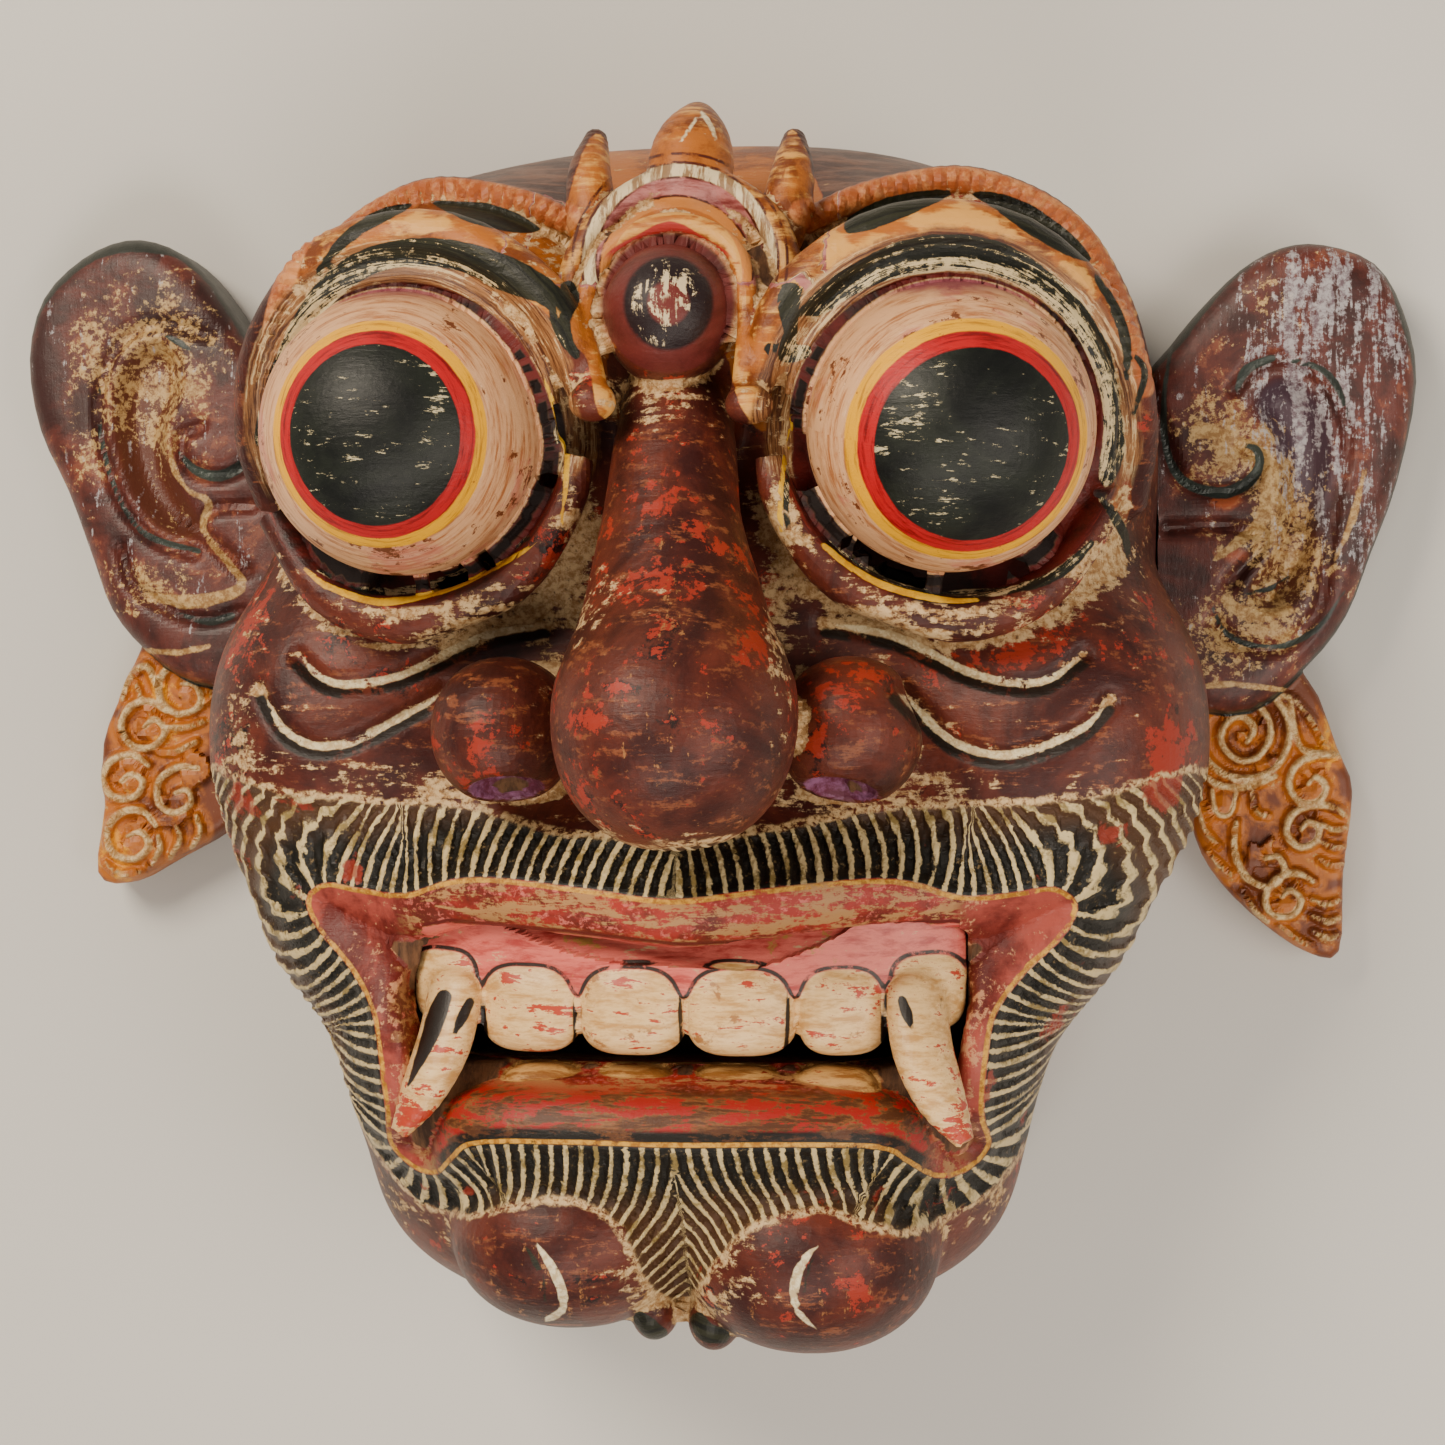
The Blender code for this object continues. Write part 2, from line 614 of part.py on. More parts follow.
def carve(obj, distance, voxels, rounds):
    """Cuts the blank to the carved form, with an even skin before each finer pass."""
    for voxel in voxels:
        remesh(obj, voxel)
        points = settle(coordinates(obj), distance, rounds, 2.5)
        points = settle(relax(obj, points, 2), distance, 3, 1.0)
        set_coordinates(obj, points)


def thin_out(obj, triangles):
    obj.data.calc_loop_triangles()
    modifier = obj.modifiers.new("plain facets", "DECIMATE")
    modifier.ratio = min(1.0, triangles / len(obj.data.loop_triangles))
    modifier.use_collapse_triangulate = True
    apply_modifiers(obj)


def cut_away(obj, cutter):
    modifier = obj.modifiers.new(cutter.name, "BOOLEAN")
    modifier.operation = "DIFFERENCE"
    modifier.solver = "EXACT"
    modifier.object = cutter
    apply_modifiers(obj)
    bpy.data.objects.remove(cutter)


def box(name, low, high, cuts=0):
    mesh = bmesh.new()
    bmesh.ops.create_cube(mesh, size=1)
    low, high = np.array(low, float), np.array(high, float)
    for vert in mesh.verts:
        vert.co = (low + high) / 2 + np.array(vert.co) * (high - low)
    if cuts:
        long_edges = [e for e in mesh.edges if abs(e.verts[0].co.x - e.verts[1].co.x) > 1]
        bmesh.ops.subdivide_edges(mesh, edges=long_edges, cuts=cuts, use_grid_fill=True)
    data = bpy.data.meshes.new(name)
    mesh.to_mesh(data)
    mesh.free()
    return new_object(name, data)


def hollow_cutter(mass):
    """One of the two hollows that take the wearer's face, as a solid to cut away."""
    mesh = bmesh.new()
    add_dome(mesh, mass, around=28)
    data = bpy.data.meshes.new("hollow")
    mesh.to_mesh(data)
    mesh.free()
    return new_object("hollow", data)


def slit_cutter(side):
    """The crescent gap under an eyeball that the wearer sees through."""
    mesh = bmesh.new()
    turns = np.linspace(0, 1, 13)
    rings = []
    for turn, angle in zip(turns, np.radians(206 + 92 * turns)):
        out = np.array((side * math.cos(angle), math.sin(angle)))
        middle = (side * EYE[0], EYE[1])
        width = SLIT_WIDTH / UNIT * (0.25 + 0.75 * math.sin(math.pi * turn))
        near, far = (middle + (EYE_RADIUS + reach) * out
                     for reach in (SLIT_OUT, SLIT_OUT + width))
        rings.append([mesh.verts.new((*flat, z)) for flat, z in
                      ((near, CUT_BACK), (far, CUT_BACK), (far, EYE[2]), (near, EYE[2]))])
    for ring, following in zip(rings[:-1], rings[1:]):
        for k in range(4):
            mesh.faces.new((ring[k], ring[k - 1], following[k - 1], following[k]))
    mesh.faces.new(rings[0])
    mesh.faces.new(rings[-1])
    bmesh.ops.recalc_face_normals(mesh, faces=mesh.faces)
    data = bpy.data.meshes.new("sight slit")
    mesh.to_mesh(data)
    mesh.free()
    return new_object("sight slit", data)


def pocket_cutter(gap):
    """The way through behind the upper lip that the teeth are set into."""
    high = BOARD["centre"] + BOARD["radii"] + gap
    low = BOARD["centre"] - BOARD["radii"] - gap
    cutter = box("teeth pocket", (low[0], LOWER_TEETH_TOP, CUT_BACK), high, cuts=14)
    set_coordinates(cutter, bend(coordinates(cutter)))
    return cutter


def place(obj):
    """Carving units to metres, with the origin under the middle of the whole mask."""
    set_coordinates(obj, (coordinates(obj) + ORIGIN_SHIFT) * UNIT)


def grown(obj, gap):
    """A copy that stands out by a gap all round, to cut a neighbour's seat with."""
    copy = new_object("grown " + obj.name, obj.data.copy())
    modifier = copy.modifiers.new("gap", "DISPLACE")
    modifier.strength = gap
    modifier.mid_level = 0
    apply_modifiers(copy)
    return copy


def make_face(teeth):
    relief = flat_map(face_relief, (-135, -145), (135, 150), 0.7)
    face = blank("face", SOLID_MASSES + EYEBALLS)
    carve(face, lambda points: face_distance(points, relief), (3.0, 1.7), 12)
    thin_out(face, FACE_TRIANGLES)
    cut_away(face, box("flat back", (-200, -200, -200), (200, 200, 0)))
    for mass in HOLLOWS:
        cut_away(face, hollow_cutter(mass))
    cut_away(face, pocket_cutter(JOINT_GAP / UNIT))
    for side in (1, -1):
        cut_away(face, slit_cutter(side))
    cut_away(face, grown(teeth, JOINT_GAP / UNIT))
    return face


def make_teeth():
    teeth = blank("upper_teeth", TEETH_MASSES)
    carve(teeth, teeth_distance, (1.2,), 8)
    thin_out(teeth, TEETH_TRIANGLES)
    set_coordinates(teeth, bend(coordinates(teeth)))
    return teeth


def make_ear(name, ear, face):
    low = EAR_LIFT / UNIT
    rough = flat_blank(name, closed_loop(ear["ear"]), low, low + EAR_THICKNESS / UNIT)
    hanging = flat_blank("pendant", closed_loop(ear["pendant"]), low, low + PENDANT_THICKNESS / UNIT)
    mesh = bmesh.new()
    mesh.from_mesh(rough.data)
    mesh.from_mesh(hanging.data)
    mesh.to_mesh(rough.data)
    mesh.free()
    bpy.data.objects.remove(hanging)
    maps = ear_maps(ear)
    carve(rough, lambda points: ear_distance(points, maps), (1.3,), 6)
    thin_out(rough, EAR_TRIANGLES)
    cut_away(rough, grown(face, JOINT_GAP / UNIT))
    return rough


def give_material(obj, colour, roughness):
    material = bpy.data.materials.new(obj.name + " paint")
    material.use_nodes = True
    shader = material.node_tree.nodes["Principled BSDF"]
    shader.inputs["Base Color"].default_value = (*colour, 1)
    shader.inputs["Roughness"].default_value = roughness
    shader.inputs["Metallic"].default_value = 0
    obj.data.materials.clear()
    obj.data.materials.append(material)


def finish(obj, collection, colour, roughness):
    place(obj)
    obj.data.shade_smooth()
    obj.data.set_sharp_from_angle(angle=math.radians(40))
    give_material(obj, colour, roughness)
    for other in list(obj.users_collection):
        other.objects.unlink(obj)
    collection.objects.link(obj)


def main():
    clear_scene()
    collection = bpy.data.collections.new("Rakshasa mask")
    bpy.context.scene.collection.children.link(collection)
    teeth = make_teeth()
    face = make_face(teeth)
    left = make_ear("left_ear", LEFT_EAR, face)
    right = make_ear("right_ear", RIGHT_EAR, face)
    maroon = (0.085, 0.022, 0.016)
    finish(face, collection, maroon, 0.42)
    finish(left, collection, maroon, 0.48)
    finish(right, collection, maroon, 0.48)
    finish(teeth, collection, (0.78, 0.60, 0.33), 0.40)


main()
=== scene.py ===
"""A carved and painted wooden demon mask, lying on its back on a pale floor.

Metres for the finished pieces. The carving itself is drawn in millimetres, in the middle of the face.
"""

import math

import bpy
import numpy as np
from mathutils import Matrix, Vector


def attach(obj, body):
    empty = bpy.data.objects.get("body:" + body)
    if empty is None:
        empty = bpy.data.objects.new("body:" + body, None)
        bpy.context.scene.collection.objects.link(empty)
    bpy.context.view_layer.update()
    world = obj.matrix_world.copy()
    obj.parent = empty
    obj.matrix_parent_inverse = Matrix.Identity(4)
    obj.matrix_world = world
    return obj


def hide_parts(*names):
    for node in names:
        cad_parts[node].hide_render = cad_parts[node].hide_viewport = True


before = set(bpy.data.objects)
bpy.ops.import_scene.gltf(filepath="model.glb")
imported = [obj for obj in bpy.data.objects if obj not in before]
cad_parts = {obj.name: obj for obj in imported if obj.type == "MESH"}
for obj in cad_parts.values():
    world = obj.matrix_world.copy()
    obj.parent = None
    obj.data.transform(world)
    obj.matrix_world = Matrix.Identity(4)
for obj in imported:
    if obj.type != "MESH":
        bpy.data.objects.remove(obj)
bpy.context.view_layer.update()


# The face
# A hollow block of light wood, carved in one piece with the eyeballs, the crown and the lower teeth,
# then painted in thin coats that have worn through to the chalky ground, and varnished.

MASK_HEIGHT = 0.278
UNIT = MASK_HEIGHT / 278
ORIGIN_SHIFT = np.array((4.0, -4.0, 0.0))
EYE = np.array((59.0, 65.5, 118.0))
EYE_RADIUS = 30.5
SOCKET_RADIUS = 33.2
SOCKET_SHIFT = np.array((-1.6, -2.6, 8.0))
LOWER_TEETH_TOP = -71.8
FAR = 30.0
HEAD_HALF_WIDTH = 108.0
FACE_FACET = 1.5
FACE_TRIANGLES = 195000
PUPIL, RED_RING, YELLOW_RING = 18.9, 21.7, 23.8


def dome(centre, radii, power=2.0, blend=6.0):
    """An egg or a rounder-cornered block: higher powers fill the corners."""
    return {"centre": np.array(centre, float), "radii": np.array(radii, float),
            "power": power, "blend": blend}


def smooth_path(points, steps=4):
    """The curve through the points, with the same number of steps in each span."""
    p = np.array(points, float)
    p = np.vstack([2 * p[0] - p[1], p, 2 * p[-1] - p[-2]])
    out = []
    for a, b, c, d in zip(p[:-3], p[1:-2], p[2:-1], p[3:]):
        for t in np.arange(steps) / steps:
            out.append(0.5 * (2 * b + (c - a) * t + (2 * a - 5 * b + 4 * c - d) * t ** 2
                              + (3 * b - a - 3 * c + d) * t ** 3))
    return np.array(out + [p[-2]])


def roll(points, blend=4.0, steps=4):
    """A tapering roll of wood along points that each give x, y, z and a radius."""
    return {"path": smooth_path(points, steps), "blend": blend}


def mirrored(masses):
    """The masses of the right half, each with its twin on the left."""
    out = []
    for mass in masses:
        twin = dict(mass)
        for key in ("centre", "path"):
            if key in mass:
                twin[key] = mass[key].copy()
                twin[key][..., 0] *= -1
        out += [mass, twin]
    return out


def closed_loop(points, steps=3):
    """A smooth closed outline through the points, without its last point twice."""
    p = [tuple(q) for q in points]
    count = len(p) * steps
    return smooth_path(p[-1:] + p + p[:2], steps)[steps:steps + count]


def dome_distance(points, mass):
    q = np.abs((points - mass["centre"]) / mass["radii"]) + 1e-6
    power = mass["power"]
    size = (q ** power).sum(1) ** (1 / power)
    slope = np.linalg.norm(q ** (power - 1) / mass["radii"], axis=1) / size ** (power - 1)
    return (size - 1) / slope


def roll_distance(points, mass):
    best = np.full(len(points), FAR)
    for start, end in zip(mass["path"][:-1], mass["path"][1:]):
        along = end[:3] - start[:3]
        t = np.clip((points - start[:3]) @ along / (along @ along), 0, 1)
        away = np.linalg.norm(points - start[:3] - t[:, None] * along, axis=1)
        best = np.minimum(best, away - start[3] - t * (end[3] - start[3]))
    return best


def mass_distance(points, mass):
    """How far each point is from a mass, negative inside; past FAR it only says FAR."""
    if "path" in mass:
        path, radius = mass["path"], mass["path"][:, 3].max()
        low, high = path[:, :3].min(0) - radius, path[:, :3].max(0) + radius
    else:
        low, high = mass["centre"] - mass["radii"], mass["centre"] + mass["radii"]
    near = ((points > low - FAR) & (points < high + FAR)).all(1)
    result = np.full(len(points), FAR)
    measure = roll_distance if "path" in mass else dome_distance
    result[near] = measure(points[near], mass)
    return result


def smooth_union(a, b, blend):
    h = np.clip(blend - np.abs(a - b), 0, None) / blend
    return np.minimum(a, b) - h * h * blend / 4


def smooth_cut(a, b, blend):
    """What is left of a, a distance, when b is cut away from it."""
    return -smooth_union(-a, b, blend)


def union_distance(points, masses):
    d = mass_distance(points, masses[0])
    for mass in masses[1:]:
        d = smooth_union(d, mass_distance(points, mass), mass["blend"])
    return d


def line_distance(flat, line, closed=False):
    """Distance from flat points to a line in the plane, and how far along it they are."""
    best = np.full(len(flat), 1e6)
    place = np.zeros(len(flat))
    ends = np.vstack([line[1:], line[:1]]) if closed else line[1:]
    run = 0.0
    for a, b in zip(line, ends):
        along = b[:2] - a[:2]
        length = math.hypot(*along)
        t = np.clip((flat - a[:2]) @ along / length ** 2, 0, 1)
        away = np.linalg.norm(flat - a[:2] - t[:, None] * along, axis=1)
        place = np.where(away < best, run + t * length, place)
        best = np.minimum(best, away)
        run += length
    return best, place


def loop_distance(flat, loop):
    """Signed distance to a closed outline, negative inside it."""
    away, _ = line_distance(flat, loop, closed=True)
    inside = np.zeros(len(flat), bool)
    for a, b in zip(loop, np.vstack([loop[1:], loop[:1]])):
        crosses = (a[1] > flat[:, 1]) != (b[1] > flat[:, 1])
        rise = b[1] - a[1] if b[1] != a[1] else 1e-9
        inside ^= crosses & (flat[:, 0] < a[0] + (b[0] - a[0]) * (flat[:, 1] - a[1]) / rise)
    return np.where(inside, -away, away)


def flat_map(measure, low, high, spacing):
    """A measure of flat points, worked out once on a grid and then read between its points."""
    x = np.arange(low[0], high[0] + spacing, spacing)
    y = np.arange(low[1], high[1] + spacing, spacing)
    grid = np.stack(np.meshgrid(x, y, indexing="ij"), -1)
    values = measure(grid.reshape(-1, 2)).reshape(len(x), len(y))
    return {"low": np.array(low, float), "spacing": spacing, "values": values}


def read_map(grid, flat):
    values = grid["values"]
    place = (flat - grid["low"]) / grid["spacing"]
    place = np.clip(place, 0, np.array(values.shape) - 1.001)
    i, j = place.astype(int).T
    u, v = (place - place.astype(int)).T
    return ((values[i, j] * (1 - u) + values[i + 1, j] * u) * (1 - v)
            + (values[i, j + 1] * (1 - u) + values[i + 1, j + 1] * u) * v)


def step(value, start, end):
    """0 before start, 1 after end, and a smooth rise between them."""
    t = np.clip((value - start) / (end - start), 0, 1)
    return t * t * (3 - 2 * t)


def eye_ring(turns, radius, blend, steps=4):
    """A roll round the right eye. Each turn gives an angle, how far out, how high and how thick."""
    points = []
    for angle, out, height, thick in turns:
        a = math.radians(angle)
        points.append((EYE[0] + (radius + out) * math.cos(a), EYE[1] + (radius + out) * math.sin(a),
                       height, thick))
    return roll(points, blend, steps)


HEAD = [
    dome((-2, 28, 0), (HEAD_HALF_WIDTH, 116.5, 100), 2.9),
    dome((-2, -16, 0), (105, 84, 96), 2.2, 12),
    dome((-4.5, -97, 36), (77, 41, 62), 2.4, 12),
    dome((-4, -61, 45), (83, 53, 82), 2.6, 14),
    dome((-53, 74, 58), (45.5, 54, 60), 2.3, 14),
    dome((55, 74, 58), (48, 51, 60), 2.3, 14),
    dome((-79, 0, 60), (37, 44, 44), 2.2, 14),
    dome((79, 0, 60), (37, 44, 44), 2.2, 14),
    dome((-68, -36.5, 54), (37, 33, 44), 2.2, 14),
    dome((64, -35.5, 54), (35, 31, 44), 2.2, 14),
]

CHIN = [
    dome((-27, -111, 80), (28, 22, 34), 2.1, 2.5),
    dome((26.5, -114, 80), (29, 23.5, 34), 2.1, 2.5),
    dome((-8.5, -128.5, 84), (5.5, 7, 9), 2, 2),
    dome((5, -130, 84), (6, 7.5, 9), 2, 2),
]

NOSE = [
    roll([(-0.5, 80, 102, 11), (0, 62, 115, 13), (0.5, 44, 124, 15), (2, 26, 131, 19),
          (3.2, 10, 138, 23)], 9, 5),
    dome((3.6, 1.5, 145), (24.5, 24.5, 27), 2.1, 8),
] + mirrored([dome((37.5, 1.5, 113), (15.5, 16, 20), 2.1, 2.5)])

BROWS = mirrored([
    eye_ring([(168, 0, 125, 3.6), (140, 1, 125, 5.5), (105, 1, 122, 5.8), (70, 0, 116, 5.8),
              (35, -2, 105, 5.6), (5, -2, 92, 5.0), (-18, 0, 80, 3.0)], 41.5, 4),
    eye_ring([(178, 0, 120, 2.6), (150, 0, 123, 3.4), (105, 0.5, 122, 3.6), (60, 0.5, 117, 3.6),
              (20, 0, 108, 3.2), (-15, 0, 100, 2.6)], 33.2, 3),
    dome((24, 87, 120), (5.5, 8, 8), 2.0, 2),
])

LIDS = mirrored([
    eye_ring([(185, 1, 116, 3), (205, 1, 117, 4), (235, 1.5, 114, 4.8), (270, 2, 111, 5.2),
              (300, 1, 107, 4.6), (335, -1, 101, 3.4)], 38.0, 6),
])

HAIRLINE = [
    roll([(27, 113, 99, 2.6), (40, 119, 95, 3), (59, 122.5, 92, 3.2), (74, 118.5, 91, 3.2),
          (85, 111, 90, 3.2), (92, 101, 86, 3.2), (97, 89, 80, 3), (99.5, 76, 74, 2.4)], 3),
    roll([(-24, 113, 99, 2.6), (-37, 119, 95, 3), (-56, 122.5, 92, 3.2), (-69, 118.5, 91, 3.2),
          (-79, 111, 90, 3.2), (-84.5, 101, 86, 3.2), (-88.5, 89, 80, 3), (-91, 76, 74, 2.4)], 3),
]

CROWN_PLATE = [dome((0, 97, 92), (23, 25, 25), 2.6, 4)]
CROWN_ARCHES = [
    roll([(-15.5, 73, 128, 3), (-18.5, 90, 122, 2.5), (-13.5, 104, 119, 2.5), (0, 109.5, 118, 2.6),
          (12.5, 104, 119, 2.5), (16.5, 90, 122, 2.5), (16.5, 72, 128, 3)], 1.5, 5),
    roll([(-20, 80, 114, 2.4), (-22.5, 97, 114, 3.2), (-17.5, 110, 112, 3.4), (-8, 118, 110, 3.4),
          (1.5, 120.5, 109, 3.6), (11, 118, 110, 3.4), (20.5, 110, 112, 3.4), (24.5, 97, 114, 3.2),
          (22, 80, 114, 2.4)], 1.5, 5),
    dome((-15.5, 70.5, 130), (5.0, 4.2, 4.6), 2, 1.5),
    dome((17.5, 69.5, 130), (5.0, 4.2, 4.6), 2, 1.5),
    dome((-1, 90, 118), (14, 15, 16.5), 2, 1),
]
FLAMES = [
    roll([(1.6, 118, 106, 9.5), (2.2, 127, 103, 9), (2.6, 134, 98, 5.5), (2.6, 138.5, 95, 2)], 2),
    roll([(-18.5, 110, 106, 5.5), (-20.5, 122, 103, 5), (-20.2, 131, 97, 3), (-20, 134.5, 95, 1.5)], 2),
    roll([(21.5, 109, 106, 5.5), (24, 121, 103, 5), (24, 130, 97, 3), (23.8, 133.5, 95, 1.5)], 2),
]

NOSTRILS = mirrored([dome((35.5, -12.5, 120), (8, 6, 11), 2)])
SOCKETS = mirrored([dome(EYE + SOCKET_SHIFT, (SOCKET_RADIUS,) * 3, 2)])
EYEBALLS = mirrored([dome(EYE, (EYE_RADIUS,) * 3, 2, 0.5)])
LOWER_TEETH = [dome((x, LOWER_TEETH_TOP - 9.5, 97), (half, 9.5, 9.5), 3, 0.6)
               for x, half in ((-31, 10.4), (-10.5, 10.6), (11.5, 11.6), (33, 10.4))]

MOUTH_HALF = [(0, -34), (18, -32), (40, -30), (51, -31), (61, -34), (72, -33.3), (81, -32.3),
              (86, -36.5), (83, -43.5), (75, -51.3), (68.5, -60), (66.5, -70), (65.7, -82),
              (67, -91), (62, -96.5), (55, -97), (49, -92), (43, -88), (24, -86.8), (0, -87)]
MOUTH = closed_loop(MOUTH_HALF + [(-x, y) for x, y in MOUTH_HALF[-2:0:-1]], 5)
MOUTH_FLOOR = 28.0

UPPER_WRINKLE = [(31, 25), (46.5, 22), (63.7, 13.7), (78, 12), (87, 18)]
RIGHT_WRINKLE = [(47.4, 10.4), (58.3, -0.5), (71.2, -3.7), (86.2, 1.7), (92.6, 8.1)]
LEFT_WRINKLE = [(-54, 10.5), (-60.4, 6.1), (-76.2, -1.7), (-88, 0.5), (-95.6, 10.6)]
WRINKLES = [smooth_path(line) for line in
            (UPPER_WRINKLE, [(-x, y) for x, y in UPPER_WRINKLE], RIGHT_WRINKLE, LEFT_WRINKLE)]

BEARD_HALF = [(0, -22), (26, -19), (46, -15), (66, -14.5), (90, -12.5), (118, -9), (122, -45),
              (92, -72), (76, -93), (62, -106), (47, -107), (31, -101), (13, -107), (-3, -127)]
BEARD_LEFT = [(-13, -105.5), (-28, -99.5), (-47, -105), (-62, -106), (-76, -93), (-92, -72),
              (-122, -45), (-118, -9), (-90, -12.5), (-66, -14.5), (-46, -16), (-26, -21)]
BEARD = closed_loop(BEARD_HALF + BEARD_LEFT)
LOCK_SPACING = 3.3
LOCK_DEPTH = 1.0

SOLID_MASSES = HEAD + CHIN + NOSE + BROWS + LIDS + HAIRLINE + CROWN_PLATE + FLAMES + CROWN_ARCHES


def lip_reach(flat):
    """How wide the lip's slope is: narrow beside the fangs and wide in the corners."""
    side = np.abs(flat[:, 0])
    corner = step(side, 58, 74) * step(flat[:, 1], -60, -47)
    beside = step(side, 50, 62) * step(-flat[:, 1], 48, 58)
    return 10.5 + 9.5 * corner - 4.5 * beside


def mouth_depth(flat, signed):
    """How deep the mouth is cut below the face: rolled lips, then a drop to the floor."""
    inward = np.clip(-signed, 0, None)
    reach = lip_reach(flat)
    share = np.clip(inward / reach, 0, 1)
    lip = 0.95 * reach * (0.45 * share + 0.55 * (1 - np.sqrt(1 - share ** 2 * 0.98)))
    return np.minimum(lip + 5 * np.clip(inward - reach, 0, None), MOUTH_FLOOR)


def beard_locks(flat, signed_mouth, place):
    """Grooves between the locks of hair round the mouth, fading out at the hair's edge."""
    inside = step(-loop_distance(flat, BEARD), 0, 2.5) * step(signed_mouth, 0.5, 2.5)
    slant = 0.018 * np.sign(flat[:, 0]) * signed_mouth ** 2
    wave = np.cos(2 * math.pi * (place + slant) / LOCK_SPACING)
    return inside * LOCK_DEPTH * (0.5 + 0.5 * wave)


def face_relief(flat):
    """How deep the mouth, the locks and the wrinkles are cut below the plain masses."""
    signed = loop_distance(flat, MOUTH)
    _, place = line_distance(flat, MOUTH, closed=True)
    relief = mouth_depth(flat, signed) + beard_locks(flat, signed, place)
    for line in WRINKLES:
        away, _ = line_distance(flat, line)
        relief += 1.9 * np.exp(-(away / 2.0) ** 2)
    return relief


def face_distance(points, relief):
    d = union_distance(points, SOLID_MASSES)
    for mass in SOCKETS:
        d = smooth_cut(d, mass_distance(points, mass), 1.0)
    for mass in NOSTRILS:
        d = smooth_cut(d, mass_distance(points, mass), 2.0)
    d += read_map(relief, points[:, :2]) * step(points[:, 2], 30, 70)
    for mass in EYEBALLS + LOWER_TEETH:
        d = smooth_union(d, mass_distance(points, mass), mass["blend"])
    return d


def settle(points, distance, rounds, reach):
    """Moves points along the slope of a distance until they lie on the carved surface."""
    small = 0.25
    for _ in range(rounds):
        d = distance(points)
        slope = np.empty_like(points)
        for axis in range(3):
            moved = points.copy()
            moved[:, axis] += small
            slope[:, axis] = (distance(moved) - d) / small
        steep = np.clip((slope ** 2).sum(1), 0.3, None)
        move = (d / steep)[:, None] * slope
        length = np.linalg.norm(move, axis=1)
        points = points - move * np.minimum(1, reach / np.maximum(length, 1e-9))[:, None]
    return points


def cad_copy(node, name):
    """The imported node's surface as a mesh of its own, in one skin."""
    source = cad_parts[node]
    obj = bpy.data.objects.new(name, source.data.copy())
    obj.data.transform(source.matrix_world)
    obj.data.materials.clear()
    bpy.context.scene.collection.objects.link(obj)
    choose(obj)
    bpy.ops.object.mode_set(mode="EDIT")
    bpy.ops.mesh.select_all(action="SELECT")
    bpy.ops.mesh.remove_doubles(threshold=1e-6)
    bpy.ops.object.mode_set(mode="OBJECT")
    for layer in list(obj.data.attributes):
        if layer.name == "custom_normal" or layer.name.startswith("UVMap"):
            obj.data.attributes.remove(layer)
    return obj


def choose(obj):
    bpy.ops.object.select_all(action="DESELECT")
    obj.select_set(True)
    bpy.context.view_layer.objects.active = obj


def carved_points(obj):
    points = np.empty(len(obj.data.vertices) * 3)
    obj.data.vertices.foreach_get("co", points)
    return points.reshape(-1, 3) / UNIT - ORIGIN_SHIFT


def set_carved(obj, points):
    obj.data.vertices.foreach_set("co", ((points + ORIGIN_SHIFT) * UNIT).ravel())
    obj.data.update()


def even_skin(obj, size):
    """The whole surface in even square facets of this size, in millimetres."""
    choose(obj)
    modifier = obj.modifiers.new("even skin", "REMESH")
    modifier.mode = "VOXEL"
    modifier.voxel_size = size * UNIT
    bpy.ops.object.modifier_apply(modifier=modifier.name)


def finer(obj, chosen):
    """Splits the facets whose corners are all chosen into four."""
    choose(obj)
    chosen = np.asarray(chosen)
    corners = np.empty(len(obj.data.loops), np.int64)
    obj.data.loops.foreach_get("vertex_index", corners)
    starts = np.empty(len(obj.data.polygons), np.int64)
    obj.data.polygons.foreach_get("loop_start", starts)
    picked = np.minimum.reduceat(chosen[corners].astype(np.int8), starts).astype(bool)
    bpy.ops.object.mode_set(mode="EDIT")
    bpy.ops.mesh.select_mode(type="FACE")
    bpy.ops.mesh.select_all(action="DESELECT")
    bpy.ops.object.mode_set(mode="OBJECT")
    obj.data.polygons.foreach_set("select", picked)
    bpy.ops.object.mode_set(mode="EDIT")
    bpy.ops.mesh.subdivide(number_cuts=1)
    bpy.ops.object.mode_set(mode="OBJECT")


def thin_out(obj, count):
    """Joins facets where the surface is plainest, down to this many triangles."""
    choose(obj)
    modifier = obj.modifiers.new("thin out", "DECIMATE")
    modifier.ratio = count / sum(len(facet.vertices) - 2 for facet in obj.data.polygons)
    bpy.ops.object.modifier_apply(modifier=modifier.name)


def recarve(obj, distance, rounds, hold=1.3):
    """Draws the skin onto the carved form, and leaves walls cut through the wood where they are."""
    points = carved_points(obj)
    near = np.abs(distance(points)) < hold
    start = points[near]
    points[near] = settle(start, distance, rounds, 0.9)
    set_carved(obj, points)
    return near


def edges_of(obj):
    edges = np.empty(len(obj.data.edges) * 2, np.int64)
    obj.data.edges.foreach_get("vertices", edges)
    return edges.reshape(-1, 2).T


def neighbour_mean(values, edges, times=1):
    """The values, each replaced by the mean of its neighbours, over and over."""
    a, b = edges
    count = np.maximum(np.bincount(np.concatenate([a, b]), minlength=len(values)), 1)
    values = values.reshape(len(values), -1)
    for _ in range(times):
        values = np.column_stack([
            (np.bincount(a, column[b], len(values)) + np.bincount(b, column[a], len(values))) / count
            for column in values.T])
    return values


def hollowness(obj, spread):
    """How hollow the surface is at each point, in millimetres: above nought in grooves and creases."""
    points, edges = carved_points(obj), edges_of(obj)
    normals = np.empty(len(points) * 3)
    obj.data.vertices.foreach_get("normal", normals)
    normals = normals.reshape(-1, 3)
    return ((neighbour_mean(points, edges, spread) - points) * normals).sum(1)


